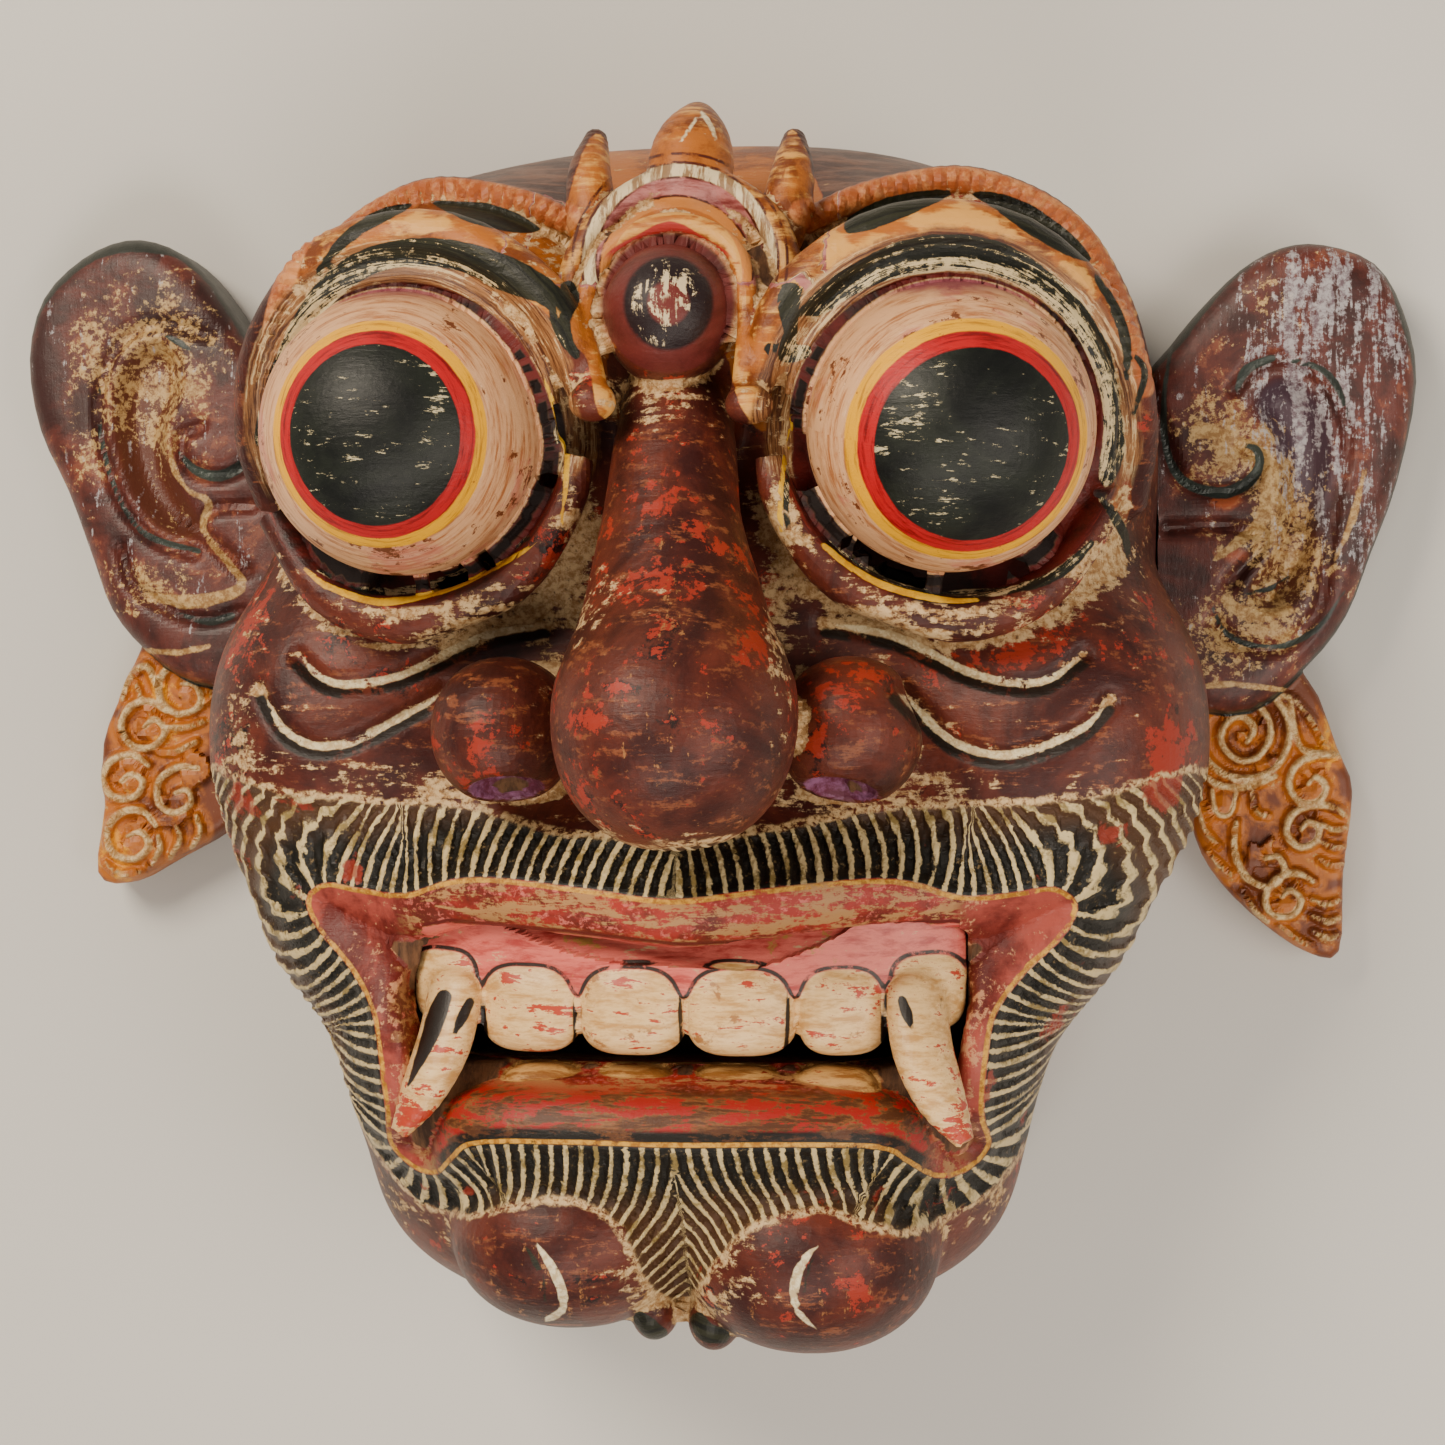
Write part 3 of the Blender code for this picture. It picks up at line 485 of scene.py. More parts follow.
def keep(obj, name, values):
    """Stores a number, or three, for each point of the mesh, for its paint to follow."""
    values = np.asarray(values, float)
    kind = "FLOAT" if values.ndim == 1 else "FLOAT_VECTOR"
    layer = obj.data.attributes.new(name, kind, "POINT")
    layer.data.foreach_set("value" if values.ndim == 1 else "vector", values.ravel())


def drawn(points):
    """Where each point is seen from a painter's place in front of the mask, 1445 steps wide."""
    eye, middle, reach = np.array((79.2, 3.3, 720.5)), np.array((0, 3.3, 25)), 2851.3
    ahead = (middle - eye) / np.linalg.norm(middle - eye)
    across = np.cross(ahead, (0, 1, 0))
    across /= np.linalg.norm(across)
    up = np.cross(across, ahead)
    away = points - eye
    depth = away @ ahead
    return np.column_stack([722.5 + reach * (away @ across) / depth,
                            722.5 - reach * (away @ up) / depth])


def shapes_map(outlines, margin=60, spacing=2.0):
    """How far inside the nearest of some drawn outlines a place is, in steps of the drawing."""
    loops = [closed_loop(outline) for outline in outlines]
    every = np.vstack(loops)
    return flat_map(lambda flat: np.max([-loop_distance(flat, loop) for loop in loops], axis=0),
                    every.min(0) - margin, every.max(0) + margin, spacing)


def strokes_map(strokes, margin=60, spacing=2.0):
    """The same for brush strokes. Each is a line of places with half its width at each."""
    lines = [smooth_path([tuple(q) for q in stroke], 3) for stroke in strokes]
    every = np.vstack(lines)[:, :2]

    def inside(flat):
        best = np.full(len(flat), -1e3)
        for line in lines:
            for a, b in zip(line[:-1], line[1:]):
                along = b[:2] - a[:2]
                t = np.clip((flat - a[:2]) @ along / max(along @ along, 1e-9), 0, 1)
                away = np.linalg.norm(flat - a[:2] - t[:, None] * along, axis=1)
                best = np.maximum(best, a[2] + t * (b[2] - a[2]) - away)
        return best

    return flat_map(inside, every.min(0) - margin, every.max(0) + margin, spacing)


def spots(flat, places):
    """Soft patches: each gives where, how wide and how strong."""
    total = np.zeros(len(flat))
    for x, y, wide, high, strength in places:
        reach = ((flat[:, 0] - x) / wide) ** 2 + ((flat[:, 1] - y) / high) ** 2
        total += strength * np.exp(-reach)
    return total


def fine_relief(flat):
    """The face's cuts, with single strands of hair and the beaded edge of the hairline."""
    relief = face_relief(flat)
    for line in HAIRLINE:
        away, place = line_distance(flat, line["path"][:, :2])
        relief -= 1.1 * np.abs(np.cos(math.pi * place / 2.8)) * np.exp(-(away / 2.4) ** 2)
    return relief


LEFT_BROW = [(254, 440), (262, 398), (279, 348), (306, 297), (343, 260), (381, 243), (424, 237),
             (483, 246), (530, 266), (560, 288), (574, 312), (556, 306), (530, 300), (497, 290), (463, 272),
             (418, 266), (379, 272), (340, 297), (312, 331), (291, 368), (276, 410), (268, 448)]
RIGHT_BROW = [(801, 312), (820, 287), (843, 270), (887, 246), (934, 234), (975, 235), (1019, 250),
              (1057, 277), (1087, 309), (1110, 350), (1120, 403), (1125, 446), (1118, 474), (1106, 488),
              (1098, 472), (1104, 429), (1098, 385), (1081, 344), (1051, 306), (1004, 278), (958, 271),
              (893, 279), (852, 296), (822, 316)]
LEAVES = [
    [(414, 203), (385, 207), (357, 221), (334, 242), (320, 263), (311, 281), (318, 276), (342, 250),
     (371, 230), (400, 214)],
    [(430, 201), (452, 201), (488, 203), (519, 214), (541, 228), (531, 233), (502, 231), (469, 222),
     (446, 212)],
    [(843, 223), (866, 206), (896, 195), (930, 190), (955, 191), (944, 199), (917, 212), (887, 224),
     (860, 233), (846, 233)],
    [(969, 192), (1000, 193), (1028, 203), (1052, 218), (1078, 240), (1092, 260), (1078, 260),
     (1049, 247), (1019, 228), (992, 208)],
]
BLACK_STROKES = [
    [(1095, 275, 3), (1114, 306, 5), (1126, 342, 5.5), (1127, 380, 3)],
    [(568, 288, 8), (571, 300, 9), (565, 320, 5.5), (566, 338, 7), (574, 350, 4)],
    [(552, 302, 4), (554, 318, 4.5), (560, 334, 5), (576, 354, 6)],
    [(789, 294, 12), (789, 310, 11), (791, 330, 7), (788, 348, 8)],
    [(770, 350, 7), (788, 354, 9), (806, 352, 7)],
    [(1136, 356, 3), (1145, 372, 4), (1140, 394, 3.5), (1131, 420, 2.5)],
    [(1099, 496, 2), (1112, 512, 5), (1124, 534, 5), (1128, 560, 2)],
]
EYE_YELLOW = [
    [(303, 567, 2), (318, 580, 3), (334, 589, 3.4), (376, 602, 3.8), (418, 597, 3.6), (458, 585, 3.2),
     (497, 566, 3), (536, 545, 2.4)],
    [(545, 380, 1.6), (556, 413, 2.4), (562, 439, 2.6), (567, 452, 2.8), (566, 481, 2.6), (561, 528, 2)],
    [(823, 545, 3), (846, 564, 3.4), (876, 582, 3.6), (911, 594, 3.6), (952, 601, 3.2), (985, 599, 1.6)],
    [(814, 374, 2), (795, 406, 2.6), (788, 444, 2.8), (783, 473, 2.6), (780, 506, 2.8), (782, 532, 2.6)],
]
EYE_BLACK = [
    [(310, 566, 1.5), (340, 580, 3), (376, 592, 4), (418, 588, 4), (456, 576, 4), (496, 558, 3.5),
     (532, 536, 2)],
    [(552, 420, 2), (558, 440, 3), (561, 470, 2.5)],
    [(831, 541, 2), (856, 561, 3), (884, 576, 3), (915, 587, 3.4), (960, 593, 3.4), (1010, 590, 4),
     (1050, 578, 6), (1075, 560, 5), (1092, 543, 3)],
    [(790, 444, 3), (787, 475, 3), (786, 506, 3), (788, 528, 3)],
]
CREAM_STROKES = [
    [(532, 1240, 1.5), (545, 1256, 4), (556, 1275, 5), (563, 1295, 5), (561, 1312, 4.5), (545, 1320, 3)],
    [(826, 1242, 1.5), (812, 1250, 3), (800, 1268, 5), (794, 1290, 5), (799, 1312, 4), (817, 1330, 2)],
    [(697, 118, 2), (690, 128, 2), (680, 142, 1.5)],
    [(702, 112, 2.4), (712, 128, 2.6), (716, 140, 1.5)],
]
CHIN_BLACK = [
    [(522, 1240, 1.5), (535, 1262, 3), (545, 1285, 3), (546, 1305, 2)],
    [(816, 1256, 2), (806, 1274, 3), (803, 1294, 3), (808, 1312, 2)],
    [(640, 1318, 7), (650, 1328, 10), (660, 1334, 8)], [(698, 1320, 8), (706, 1332, 10), (722, 1336, 8)],
]
relief = flat_map(fine_relief, (-135, -145), (135, 150), 0.6)
face = cad_copy("face", "painted_face")
even_skin(face, FACE_FACET)


def near_eyes(points):
    return (np.hypot(np.abs(points[:, 0]) - EYE[0], points[:, 1] - EYE[1]) < 40) & (points[:, 2] > 92)


stroke_maps = (shapes_map([LEFT_BROW, RIGHT_BROW] + LEAVES),
               strokes_map(BLACK_STROKES + EYE_BLACK + CHIN_BLACK),
               strokes_map(EYE_YELLOW), strokes_map(CREAM_STROKES))


def drawn_zones(points):
    """How far inside the black, yellow and cream brush marks each place on the face is."""
    flat = drawn(points)
    shapes, black, yellow, cream = (read_map(grid, flat) for grid in stroke_maps)
    return flat, np.maximum(shapes, black), yellow, cream


points = carved_points(face)
flat, black, yellow, cream = drawn_zones(points)
front = points[:, 2] > 30
in_beard = (loop_distance(points[:, :2], BEARD) < 1.5) & front
in_crown = (np.abs(points[:, 0]) < 34) & (points[:, 1] > 60) & (points[:, 2] > 84)
wrinkled = np.min([line_distance(points[:, :2], line)[0] for line in WRINKLES], axis=0) < 5
in_hair = np.min([line_distance(points[:, :2], line["path"])[0] for line in HAIRLINE], axis=0) < 5
stroked = (np.abs(black) < 9) | (yellow > -9) | (cream > -9)
lip = np.abs(loop_distance(points[:, :2], MOUTH)) < 3
shown = np.abs(face_distance(points, relief)) < 1.6
raised = (wrinkled | in_hair | stroked | lip | near_eyes(points)) & (points[:, 2] > 55)
finer(face, shown & (in_beard | in_crown | raised))
outer = recarve(face, lambda points: face_distance(points, relief), 3, 1.6)
points = carved_points(face)
calm = 0.35 * (np.abs(points[:, 0]) < 26) * (points[:, 1] > 8) * (points[:, 1] < 66) * (points[:, 2] > 100)
points += calm[:, None] * (neighbour_mean(points, edges_of(face), 2) - points)
set_carved(face, points)
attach(face, "root")
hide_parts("face")

flat, black, yellow, cream = drawn_zones(points)
keep(face, "strokes", np.column_stack([black, yellow, cream]))
FOREHEAD = [(286, 300), (300, 262), (318, 232), (345, 208), (380, 192), (415, 184), (470, 186), (520, 196),
            (560, 208), (572, 185), (583, 150), (597, 132), (612, 146), (625, 148), (660, 120), (697, 100),
            (735, 118), (770, 146), (782, 142), (793, 129), (808, 152), (816, 182), (834, 208), (880, 186),
            (940, 172), (990, 175), (1040, 192), (1085, 220), (1118, 262), (1136, 310), (1142, 352),
            (1136, 400), (1130, 450), (1132, 500), (1122, 530), (1102, 500), (1100, 440), (1085, 360),
            (1040, 300), (960, 272), (880, 285), (815, 320), (800, 330), (776, 345), (770, 428), (748, 420),
            (733, 385), (722, 350), (668, 345), (612, 350), (610, 385), (622, 420), (598, 415), (590, 370),
            (575, 345), (530, 300), (470, 276), (400, 268), (330, 300), (300, 350), (270, 400)]
orange = read_map(shapes_map([FOREHEAD]), flat)
in_crown = (np.abs(points[:, 0]) < 34) & (points[:, 1] > 60) & (points[:, 2] > 84)
crown_ball = np.where(in_crown, np.hypot(flat[:, 0] - 668.5, (flat[:, 1] - 303) / 1.05) - 67, 200)
hair = np.min([line_distance(points[:, :2], line["path"])[0] for line in HAIRLINE], axis=0)
keep(face, "zones", np.column_stack([orange, crown_ball, np.where(points[:, 2] > 66, hair, 99)]))
outer_arch = np.hypot(flat[:, 0] - 680, flat[:, 1] - 261)
inner_arch = np.hypot(flat[:, 0] - 676, flat[:, 1] - 273)
above = in_crown & (flat[:, 1] < 285)
keep(face, "arches", np.column_stack([np.where(above, outer_arch, 0), np.where(above, inner_arch, 200),
                                      flat[:, 1]]))

side = np.sign(points[:, 0])
from_eye = points - np.column_stack([side * EYE[0], np.full(len(points), EYE[1]),
                                     np.full(len(points), EYE[2])])


def aim(turn, lift):
    """The way an eye looks, turned outwards and lifted by so many degrees."""
    a, b = math.radians(turn), math.radians(lift)
    return np.array((math.sin(a) * math.cos(b), math.sin(b), math.cos(a) * math.cos(b)))


gaze = np.where(side[:, None] < 0, aim(0, -6.5), aim(13, -14.5))
across = np.cross((0, 1, 0), gaze)
across /= np.linalg.norm(across, axis=1)[:, None]
upward = np.cross(gaze, across)
looks = (from_eye * gaze).sum(1) > 0
# The right eye is painted a little larger, so both are kept at the left one's size
ring = np.column_stack([(from_eye * across).sum(1) * np.where(side < 0, 1.04, 0.935),
                        (from_eye * upward).sum(1) * np.where(side < 0, 1.0, 0.95),
                        np.linalg.norm(from_eye, axis=1) - EYE_RADIUS])
ring[~looks, :2] = 99
keep(face, "eye", ring)
round_eye = np.hypot(from_eye[:, 0], from_eye[:, 1])
round_eye[points[:, 2] < 78] = 99
keep(face, "lids", np.column_stack([round_eye, from_eye[:, 1], np.min(
    [mass_distance(points, mass) for mass in NOSTRILS], axis=0)]))

signed_mouth = loop_distance(points[:, :2], MOUTH)
_, mouth_place = line_distance(points[:, :2], MOUTH, closed=True)
slant = mouth_place + 0.018 * side * signed_mouth ** 2
front = (points[:, 2] > 34) & outer
# Where the gum is painted on over the lip's inner edge, in steps of the drawing
gum_edge = flat[:, 1] - np.interp(flat[:, 0], (415, 450, 560, 680, 800, 900, 965),
                                  (928, 922, 932, 946, 940, 925, 922))
gum_edge[(flat[:, 0] < 420) | (flat[:, 0] > 962) | (flat[:, 1] > 1000) | (points[:, 2] < 96)] = -99
keep(face, "gum", gum_edge)
keep(face, "mouth", np.column_stack([np.where(points[:, 2] > 40, signed_mouth, 60), slant,
                                     np.where(front, -loop_distance(points[:, :2], BEARD), -9)]))
keep(face, "teeth", np.column_stack([np.min([mass_distance(points, mass) for mass in LOWER_TEETH], axis=0),
                                     np.min([np.abs(points[:, 0] - x) for x in (-20.6, 0.4, 22.6)], axis=0),
                                     points[:, 2]]))

wrinkle = np.full(len(points), 99.0)
wrinkle_edge = np.full(len(points), 99.0)
for line in WRINKLES:
    away, _ = line_distance(points[:, :2], line)
    lower, _ = line_distance(points[:, :2] + (0, 2.1), line)
    ends = np.min(np.linalg.norm(points[:, None, :2] - line[[0, -1]], axis=2), axis=1)
    wrinkle = np.minimum(wrinkle, away + 1.2 * np.exp(-ends / 4))
    wrinkle_edge = np.minimum(wrinkle_edge, lower)
high = points[:, 2] > 60
fine_hollow = hollowness(face, 2)
broad_hollow = neighbour_mean(hollowness(face, 14), edges_of(face), 5)[:, 0]
keep(face, "carving", np.column_stack([fine_hollow, broad_hollow, outer.astype(float)]))
keep(face, "wrinkles", np.column_stack([np.where(high, wrinkle, 99), np.where(high, wrinkle_edge, 99),
                                        np.zeros(len(points))]))

# Where the paint is rubbed thin, where an older vermilion coat shows, and where the varnish has darkened
wear = spots(flat, [
    (640, 400, 110, 26, 0.8), (575, 500, 22, 110, 0.9), (780, 520, 24, 120, 0.9),
    (560, 600, 60, 30, 0.7), (430, 622, 130, 22, 0.6), (930, 625, 150, 26, 0.75), (1100, 575, 40, 40, 0.7),
    (250, 640, 26, 80, 0.5), (900, 560, 60, 30, 0.5), (655, 832, 110, 14, 0.9), (540, 700, 16, 70, 0.8),
    (778, 700, 16, 80, 0.8), (900, 790, 130, 34, 0.8), (430, 790, 140, 26, 0.6), (300, 760, 80, 30, 0.6),
    (1080, 800, 90, 40, 0.5), (640, 1270, 40, 60, 1.0), (740, 1260, 40, 60, 0.8), (480, 1200, 110, 22, 0.6),
    (900, 1200, 120, 26, 0.8), (980, 1180, 40, 60, 0.6), (400, 1200, 40, 60, 0.4), (330, 300, 50, 70, 0.5),
    (540, 250, 40, 50, 0.4), (1130, 700, 30, 60, 0.3), (240, 740, 26, 60, 0.6), (655, 660, 40, 90, 0.25),
    (1000, 720, 110, 24, 0.5), (350, 710, 110, 24, 0.35), (700, 1300, 60, 40, 0.7)])
red = spots(flat, [
    (690, 530, 44, 100, 1.0), (630, 560, 40, 70, 0.6), (760, 600, 26, 70, 0.7), (600, 730, 60, 60, 0.4),
    (480, 745, 40, 36, 0.8), (835, 690, 36, 26, 0.8), (262, 620, 22, 46, 1.2), (240, 660, 24, 40, 0.8),
    (300, 690, 30, 26, 0.6), (1070, 650, 80, 26, 0.8), (985, 660, 60, 22, 0.6), (1165, 775, 20, 40, 1.3),
    (1100, 830, 26, 22, 1.1), (800, 1262, 60, 40, 0.8), (560, 1232, 60, 20, 0.5), (870, 1300, 60, 36, 0.4),
    (470, 1290, 60, 40, 0.3), (715, 740, 40, 70, 0.45), (280, 800, 60, 20, 0.5)])
dark = spots(flat, [
    (670, 600, 30, 120, 0.8), (640, 735, 70, 60, 0.6), (530, 1262, 60, 44, 0.7), (580, 1300, 50, 30, 0.6),
    (760, 1300, 60, 40, 0.4), (240, 700, 30, 60, 0.5), (500, 700, 50, 40, 0.3), (850, 1290, 60, 40, 0.5)])
keep(face, "worn", np.column_stack([wear, red, dark]))
thin_out(face, FACE_TRIANGLES)


def colour(code, alpha=1.0):
    """A colour as a painter's sheet gives it, made ready for light."""
    parts = [int(code[i:i + 2], 16) / 255 for i in (0, 2, 4)]
    return (*[c / 12.92 if c <= 0.04045 else ((c + 0.055) / 1.055) ** 2.4 for c in parts], alpha)


def add(kind, inputs=None, out=0, **settings):
    """A node of the paint at hand with its settings, each input set to a value or joined to a node."""
    made = tree.nodes.new("ShaderNode" + kind)
    for name, value in settings.items():
        setattr(made, name, value)
    for key, value in (inputs or {}).items():
        if isinstance(value, bpy.types.NodeSocket):
            tree.links.new(value, made.inputs[key])
        else:
            made.inputs[key].default_value = value
    return made.outputs[out]


def sums(operation, a, b=0.0, c=0.0):
    return add("Math", {0: a, 1: b, 2: c}, operation=operation)


def times(a, b):
    return sums("MULTIPLY", a, b)


def adds(a, share, rest):
    """So many times the first, added to the rest."""
    return sums("MULTIPLY_ADD", a, share, rest)


def noise(place, scale, detail=6.0, rough=0.6, twist=0.0):
    return add("TexNoise", {"Vector": place, "Scale": scale, "Detail": detail, "Roughness": rough,
                            "Distortion": twist})


def edge(value, start, end):
    """0 up to start, 1 from end, and a soft edge between them."""
    return add("MapRange", {0: value, 1: start, 2: end}, interpolation_type="SMOOTHSTEP")


def over(below, above, mask):
    """One coat of paint over another where the mask is 1."""
    if isinstance(above, str):
        above = colour(above)
    if isinstance(below, str):
        below = colour(below)
    return add("Mix", {0: mask, 6: below, 7: above}, out=2, data_type="RGBA")


def split_vector(vector):
    split = tree.nodes.new("ShaderNodeSeparateXYZ")
    tree.links.new(vector, split.inputs[0])
    return split.outputs


def attribute(name):
    return split_vector(add("Attribute", out=1, attribute_name=name))


def join_vector(x, y, z):
    return add("CombineXYZ", {0: x, 1: y, 2: z})


def between(value, low, high, soft):
    """1 from low to high, 0 outside, with soft ends."""
    return times(edge(value, low - soft / 2, low + soft / 2), edge(value, high + soft / 2, high - soft / 2))


def stretched(place, scale, turn=(0, 0, 0)):
    return add("Mapping", {"Vector": place, "Scale": scale, "Rotation": turn})


def start_material(name):
    material = bpy.data.materials.new(name)
    material.use_nodes = True
    tree = material.node_tree
    return material, tree, tree.nodes["Principled BSDF"]


# Light wood under a chalk ground, thin maroon, ochre, red and black water paints, and a half-gloss varnish
material, tree, shader = start_material("worn mask paint")
place = add("TexCoord", out=3)
patch = noise(place, 42, 8, 0.66, 0.4)
flakes = noise(place, 130, 10, 0.74, 0.3)
fine = noise(place, 700, 5, 0.7)
brushed = noise(stretched(place, (70, 380, 200)), 1, 8, 0.72, 0.25)
upright = noise(stretched(place, (420, 60, 120)), 1, 8, 0.72, 0.25)
carving, worn, zones = (attribute(name) for name in ("carving", "worn", "zones"))
strokes, mouth, eye = (attribute(name) for name in ("strokes", "mouth", "eye"))
lids, arches, lower = (attribute(name) for name in ("lids", "arches", "teeth"))
wrinkles = attribute("wrinkles")
x, y, z = split_vector(place)
ragged = sums("SUBTRACT", flakes, 0.5)
soft = sums("SUBTRACT", patch, 0.5)

# How far the ground shows: more in the folds, along brush marks and where it is rubbed, and under the lower
# lids, where it is wear and also painted light that lifts the shade under the lid roll
specks = noise(place, 520, 6, 0.75, 0.2)
turned = sums("DIVIDE", lids[1], lids[0])
round_eye = noise(join_vector(times(lids[0], 1.1), times(turned, 2.4), times(x, 14)), 1.0, 9, 0.74, 0.15)
# Under the lower lid rolls: wear, and painted light that lifts the shade under the roll
under_lid_wear_and_light = times(between(lids[0], 37, 47, 4), edge(lids[1], -8, -20))
show = adds(worn[0], 0.125, adds(brushed, 0.46, adds(flakes, 0.3, times(specks, 0.24))))
show = adds(carving[0], 0.45, show)
show = adds(carving[1], 0.016, show)
show = adds(under_lid_wear_and_light, 0.1, show)
show = adds(edge(zones[0], 0, 6), 0.03, show)
ground = over(over("9a7142", "d2b282", edge(specks, 0.4, 0.6)), "5f4930", edge(fine, 0.56, 0.7))

skin = over("34120f", "612a1d", edge(patch, 0.36, 0.6))
skin = over(skin, "7c4429", edge(adds(specks, 0.5, brushed), 0.79, 0.9))
skin = over(skin, "1c0d0c", edge(adds(worn[2], 0.12, adds(ragged, 0.5, patch)), 0.57, 0.64))
skin = over(skin, "962d1c", edge(adds(worn[1], 0.14, adds(ragged, 0.8,
    adds(specks, 0.3, times(patch, 0.8)))), 0.66, 0.68))
skin = over(skin, "96643a", edge(adds(worn[2], 0.1, adds(specks, 0.5, times(upright, 0.6))), 0.68, 0.71))

# A purple brown on top of the head with brush marks round it, and amber over the forehead
head_top = over("3a1f1c", "6f4a3a", edge(brushed, 0.42, 0.62))
top_zone = times(edge(y, 0.098, 0.104), edge(zones[0], 1, -2))
base = over(skin, head_top, top_zone)

amber = over("6e3512", "a85f20", edge(adds(ragged, 0.6, patch), 0.4, 0.56))
amber = over(amber, "d49a4c", edge(adds(carving[0], -2.4, brushed), 0.6, 0.8))
amber = over(amber, "7a2a1c", edge(adds(carving[0], 2.2, flakes), 0.7, 0.86))
orange_zone = edge(adds(ragged, 8, zones[0]), -0.5, 1.5)
base = over(base, amber, orange_zone)
base = over(base, over("a4562a", "c98650", edge(flakes, 0.45, 0.6)), edge(zones[2], 3.2, 2.4))

# The crown: a maroon ball between arches of orange, rose and cream
rose = over("7c3a38", "b0706a", edge(brushed, 0.4, 0.6))
cream_beads = over("8a6a48", "d8c39a", edge(upright, 0.44, 0.54))
red_scallop = adds(sums("SINE", times(x, 420)), 3, 9)
base = over(base, cream_beads, between(arches[0], 84, 98, 1.5))
base = over(base, rose, times(between(arches[0], 40, 84, 2), edge(arches[1], 76, 78)))
base = over(base, "c07a3a", between(arches[1], 66, 77, 1.5))
thin_lines = add("Math", {0: between(arches[0], 97, 100, 1.5), 1: between(arches[0], 82.5, 85, 1.5)},
    operation="MAXIMUM")
thin_lines = add("Math", {0: thin_lines, 1: between(arches[1], 76, 78.5, 1.5)}, operation="MAXIMUM")
thin_lines = add("Math", {0: thin_lines, 1: between(arches[0], 106, 109, 1.5)}, operation="MAXIMUM")
base = over(base, "4a1a0e", times(times(thin_lines, edge(arches[1], 190, 180)), edge(flakes, 0.4, 0.5)))
crown_marks = times(between(zones[1], -60, -26, 6), edge(adds(ragged, 0.9, upright), 0.55, 0.58))
base = over(base, "a02a22", times(edge(sums("SUBTRACT", zones[1], red_scallop), 0, -2),
    edge(arches[2], 262, 250)))
ball_paint = over("451815", "662a26", edge(patch, 0.4, 0.6))
ball_paint = over(ball_paint, "201416", times(between(zones[1], -46, -22, 5), edge(patch, 0.48, 0.52)))
ball_paint = over(ball_paint, "d2bd96", times(crown_marks, edge(flakes, 0.5, 0.54)))
base = over(base, ball_paint, edge(zones[1], 1, -1))

# The hoods over the eyes, tan and brown, and the sockets, dark red
upper = edge(lids[1], -12, -4)
hood = over("4a2616", "9a6a40", edge(round_eye, 0.4, 0.56))
hood = over(hood, "cfb081", edge(adds(ragged, 0.5, round_eye), 0.54, 0.6))
base = over(base, hood, times(edge(adds(ragged, 6, lids[0]), 41.5, 39.5), upper))
base = over(base, over("42140f", "74241a", edge(round_eye, 0.45, 0.6)),
    times(edge(lids[0], 37.5, 36.5), edge(lids[1], -6, -12)))

# The nostrils, red violet inside
base = over(base, over("5c2436", "8d5a7c", edge(flakes, 0.42, 0.6)), edge(lids[2], 0.7, 0.2))

# The cream ground, worn through the skin
ground_mask = edge(show, 0.585, 0.625)
skinny = times(times(ground_mask, edge(zones[1], -4, 6)), edge(lids[2], 0.4, 1.2))
base = over(base, ground, times(skinny, 0.92))
# The depth of the sockets, painted shade in near black and dark red
base = over(base, over("1d0806", "5c1712", edge(patch, 0.4, 0.6)),
    times(edge(adds(lids[1], 0.08, lids[0]), 34.8, 34.0), edge(eye[2], 0.6, 1.0)))

# Wrinkles: a cream line in each groove with a dark one under it
base = over(base, "1c1410", times(edge(wrinkles[1], 1.5, 0.8), edge(flakes, 0.4, 0.48)))
base = over(base, over("bda278", "dccba2", edge(fine, 0.4, 0.6)),
    times(edge(adds(ragged, 2.0, wrinkles[0]), 1.15, 0.75), edge(flakes, 0.4, 0.45)))

# The beard: cream strands on black, browner towards the cheeks
strand = sums("COSINE", times(mouth[1], 2 * math.pi / LOCK_SPACING))
each = noise(join_vector(times(mouth[1], 0.34), times(mouth[0], 0.1), 0.0), 1.0, 5, 0.7, 0.3)
strand = adds(sums("SUBTRACT", specks, 0.5), 2.6, strand)
strand = adds(sums("SUBTRACT", each, 0.5), 3.0, strand)
beard_dark = over("15120d", "4a2f1b", edge(adds(soft, 16, mouth[0]), 8, 18))
beard_dark = over(beard_dark, "75603f", edge(specks, 0.58, 0.68))
beard = over(beard_dark, over("857040", "cbb483", edge(flakes, 0.4, 0.52)), edge(strand, -0.3, -0.75))
beard = over(beard, "8f3020", times(edge(adds(worn[1], 0.2, patch), 0.62, 0.66), 0.8))
beard_edge = adds(ragged, 5, mouth[2])
base = over(base, ground, times(between(beard_edge, -1.2, 0.8, 0.8), edge(specks, 0.42, 0.5)))
base = over(base, beard, times(edge(beard_edge, -0.2, 0.8), edge(mouth[0], -0.6, 0)))

# The mouth: red lips worn to tan, darker corners, an ochre line round the edge, and the dull lower teeth
across_face = sums("ABSOLUTE", sums("SUBTRACT", x, 0.004))
lip_red = over("5c2015", "9c2c22", edge(patch, 0.4, 0.56))
lip_red = over(lip_red, "a77a4c", edge(adds(specks, 0.4, brushed), 0.69, 0.75))
lip_red = over(lip_red, "c8685c", times(edge(brushed, 0.5, 0.4), edge(specks, 0.5, 0.58)))
corner = over("5a1a15", "a0463a", edge(patch, 0.42, 0.6))
corner = over(corner, "bd8560", edge(adds(carving[0], -1.2, adds(ragged, 0.6, specks)), 0.6, 0.68))
mouth_paint = over(lip_red, corner, edge(adds(soft, 0.03, across_face), 0.055, 0.064))
low_lip = over("4e2c19", "8f5c33", edge(brushed, 0.42, 0.6))
low_lip = over(low_lip, "981d17", edge(adds(ragged, 0.5, adds(upright, 0.2, brushed)), 0.6, 0.63))
low_lip = over(low_lip, "15100c", times(edge(mouth[0], -4.2, -3.0),
    edge(adds(ragged, 0.6, brushed), 0.4, 0.5)))
low_zone = times(edge(y, -0.078, -0.081), edge(across_face, 0.058, 0.052))
mouth_paint = over(mouth_paint, low_lip, low_zone)
# Deep in the mouth, below 78 to 86 mm, painted near black as shade
mouth_paint = over(mouth_paint, "120806", edge(lower[2], 86, 78))
